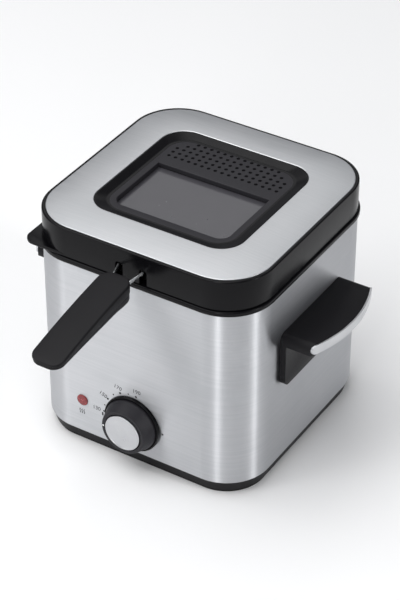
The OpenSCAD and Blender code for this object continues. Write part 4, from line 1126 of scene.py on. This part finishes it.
# %% Side handles and their trims
def rolled_copy(name, node, radius, limit=38, segments=3):
    """A welded copy of a measured piece, with its sharp edges rolled to a radius in mm."""
    bm = bmesh.new()
    bm.from_mesh(frame["nodes"][node].data)
    bmesh.ops.remove_doubles(bm, verts=bm.verts, dist=2e-6)
    bmesh.ops.dissolve_limit(bm, angle_limit=math.radians(0.4), verts=bm.verts, edges=bm.edges)
    mesh = bpy.data.meshes.new(name)
    bm.to_mesh(mesh)
    bm.free()
    made = put(name, mesh)
    roll = made.modifiers.new("roll", "BEVEL")
    roll.width, roll.segments, roll.limit_method = radius * MM, segments, "ANGLE"
    roll.angle_limit, roll.miter_outer = math.radians(limit), "MITER_ARC"
    mesh = baked(made)
    made.modifiers.clear()
    made.data = mesh
    soften(mesh)
    return made


rolled = []
for side in ("right", "left"):
    rolled.append((side + "_handle_moulding", side + "_handle", 0.9, matt_black, "body", "black_plastic"))
    rolled.append((side + "_handle_trim", side + "_trim", 0.3, satin_silver, "body", "silver_trim"))
rolled += [("cord_grommet_moulding", "cord_grommet", 0.4, foot_rubber, "body", "black_rubber"),
           ("basket_bracket_plate", "basket_bracket", 0.4, drawn_wire, "basket", "wire_steel")]
for name, node, radius, material, body, slot in rolled:
    dress(rolled_copy(name, node, radius), material, body, slot, node)


# %% [markdown]
# ## Printed scale
# The scale is pad printed on the wrap: a dot for each step, larger where it has a number,
# a short bar below the first dot, an off dot on the right, and a small wave sign for heat
# under the lamp. Each mark is a flake of ink 0.06 mm thick, made flat and then stood up
# against the front face.

# %% Printed scale
def ink_disc(x, z, radius):
    """A round dot of ink on the front face."""
    bm = bmesh.new()
    layers = ((radius, FACE), (radius, FACE - 0.06), (radius * 0.5, FACE - 0.07))
    loft(bm, [[Vector((u, y, v)) for u, v in circle(x, z, r, 20)] for r, y in layers], False)
    return mesh_object("ink", bm)


def ink_text(words, x, z, height, lean):
    """A number, made a mesh while flat, then turned upright and leaned like the dial."""
    letters = bpy.data.curves.new("ink", "FONT")
    letters.body, letters.size, letters.extrude = words, height, 0.03
    letters.align_x = letters.align_y = "CENTER"
    letters.resolution_u = 3
    flat = put("ink", letters)
    mesh = baked(flat)
    bpy.data.objects.remove(flat)
    mesh.transform(Matrix.Scale(MM, 4) @ Matrix.Translation((x, FACE - 0.03, z))
                   @ Matrix.Rotation(-lean, 4, "Y") @ Matrix.Rotation(math.pi / 2, 4, "X"))
    return put("ink", mesh)


BIG_DOT = 0.95
marks = []
for value, angle in ((130, 180), (140, 166), (150, 149), (160, 131), (170, 115), (180, 98), (190, 83)):
    c, s, major = math.cos(math.radians(angle)), math.sin(math.radians(angle)), value % 20 == 10
    marks.append(ink_disc(DIAL_X + 26.6 * c, DIAL_Z + 26.6 * s, BIG_DOT if major else 0.65))
    if major:
        out = 33.5 if value == 130 else 31.5
        lean = math.radians({130: 0, 150: -24, 170: -12, 190: 0}[value])
        marks.append(ink_text(str(value), DIAL_X + out * c, DIAL_Z + out * s, 5.0, lean))
marks.append(ink_disc(DIAL_X + 26.8, DIAL_Z, BIG_DOT))
marks += [ink_disc(-29.5, 36.7 + 0.9 * k, 0.75) for k in (-1, 0, 1)]
for k in range(3):
    wave = [(-50.8 + 1.9 * k, 29.4 + 0.9 * i) for i in range(5)]
    for i, (x, z) in enumerate(wave):
        marks.append(ink_disc(x + 0.35 * math.sin(i * 1.6), z, 0.42))
scale_print = joined("printed_scale", marks[0], marks[1:])
scale_print.data.materials.clear()
dress(scale_print, dark_ink, "body", "black_plastic")


# %% [markdown]
# ## Finishes for the measured pieces that stay
# The other measured pieces already have the right shape. Each gets the finish of its own
# material, by name.

# %% Finishes for the measured pieces that stay
own_finish = {
    steel_wrap: ["outer_casing"],
    matt_black: ["base_tray"],
    foot_rubber: ["front_skid", "rear_skid", "window_seal"],
    zinc_sheet: ["casing_brackets", "clamp_cross", "heat_shield", "thermostat_bracket", "lid_liner"],
    zinc_screw: ["pot_studs", "stud_nuts", "thermostat_shaft", "shaft_clip"],
    cast_aluminium: ["heater_plate"],
    browned_tube: ["heater_ring"],
    bright_copper: ["thermostat_bulb"],
    nylon: ["thermostat", "thermal_fuse", "terminal_block", "lamp_holder"],
    glass_with_painted_shade: ["window_glass"],
    felt: ["filter_mat"],
    seal_silicone: ["lid_seal"]}
for material, names in own_finish.items():
    for name in names:
        for place in frame["nodes"][name].material_slots:
            place.material = material
hidden = {n for o in scene.objects for n in o.get("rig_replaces", [])}
left = set(frame["nodes"]) - hidden - {n for names in own_finish.values() for n in names}
print("pieces without a finish:", sorted(left))


# %% [markdown]
# ## Floor
# One large pale sheet, matt, with the faint unevenness of painted board.

# %% Floor
board, tree, shader, place = finish("matt_white_board", roughness=0.9)
patch = add(tree, "ShaderNodeTexNoise", {"Vector": place, "Scale": per_mm(400), "Detail": 2.0})
colour = add(tree, "ShaderNodeMix", {"Factor": patch.outputs["Fac"], 6: linear("#F6F6F6"),
                                     7: linear("#FBFBFB")}, data_type="RGBA")
coat(tree, shader, colour)
sheet = bpy.data.meshes.new("floor")
FLOOR_HALF = 6
sheet.from_pydata([(-FLOOR_HALF, -FLOOR_HALF, 0), (FLOOR_HALF, -FLOOR_HALF, 0),
                   (FLOOR_HALF, FLOOR_HALF, 0), (-FLOOR_HALF, FLOOR_HALF, 0)], [], [(0, 1, 2, 3)])
floor = put("floor", sheet)
floor.data.materials.append(board)
floor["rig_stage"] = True
print("floor", 2 * FLOOR_HALF, "m across")


# %% [markdown]
# ## Measure and finish
# The finished model's box is written beside the measured one, so the two can be compared.

# %% Measure and finish
spare = [m for m in bpy.data.materials if m.users == 0]
for material in spare:
    bpy.data.materials.remove(material)
made_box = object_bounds()
for label, box in (("measured", cad_box), ("made", made_box)):
    print(label, [round(b - a, 4) for a, b in zip(*box)])
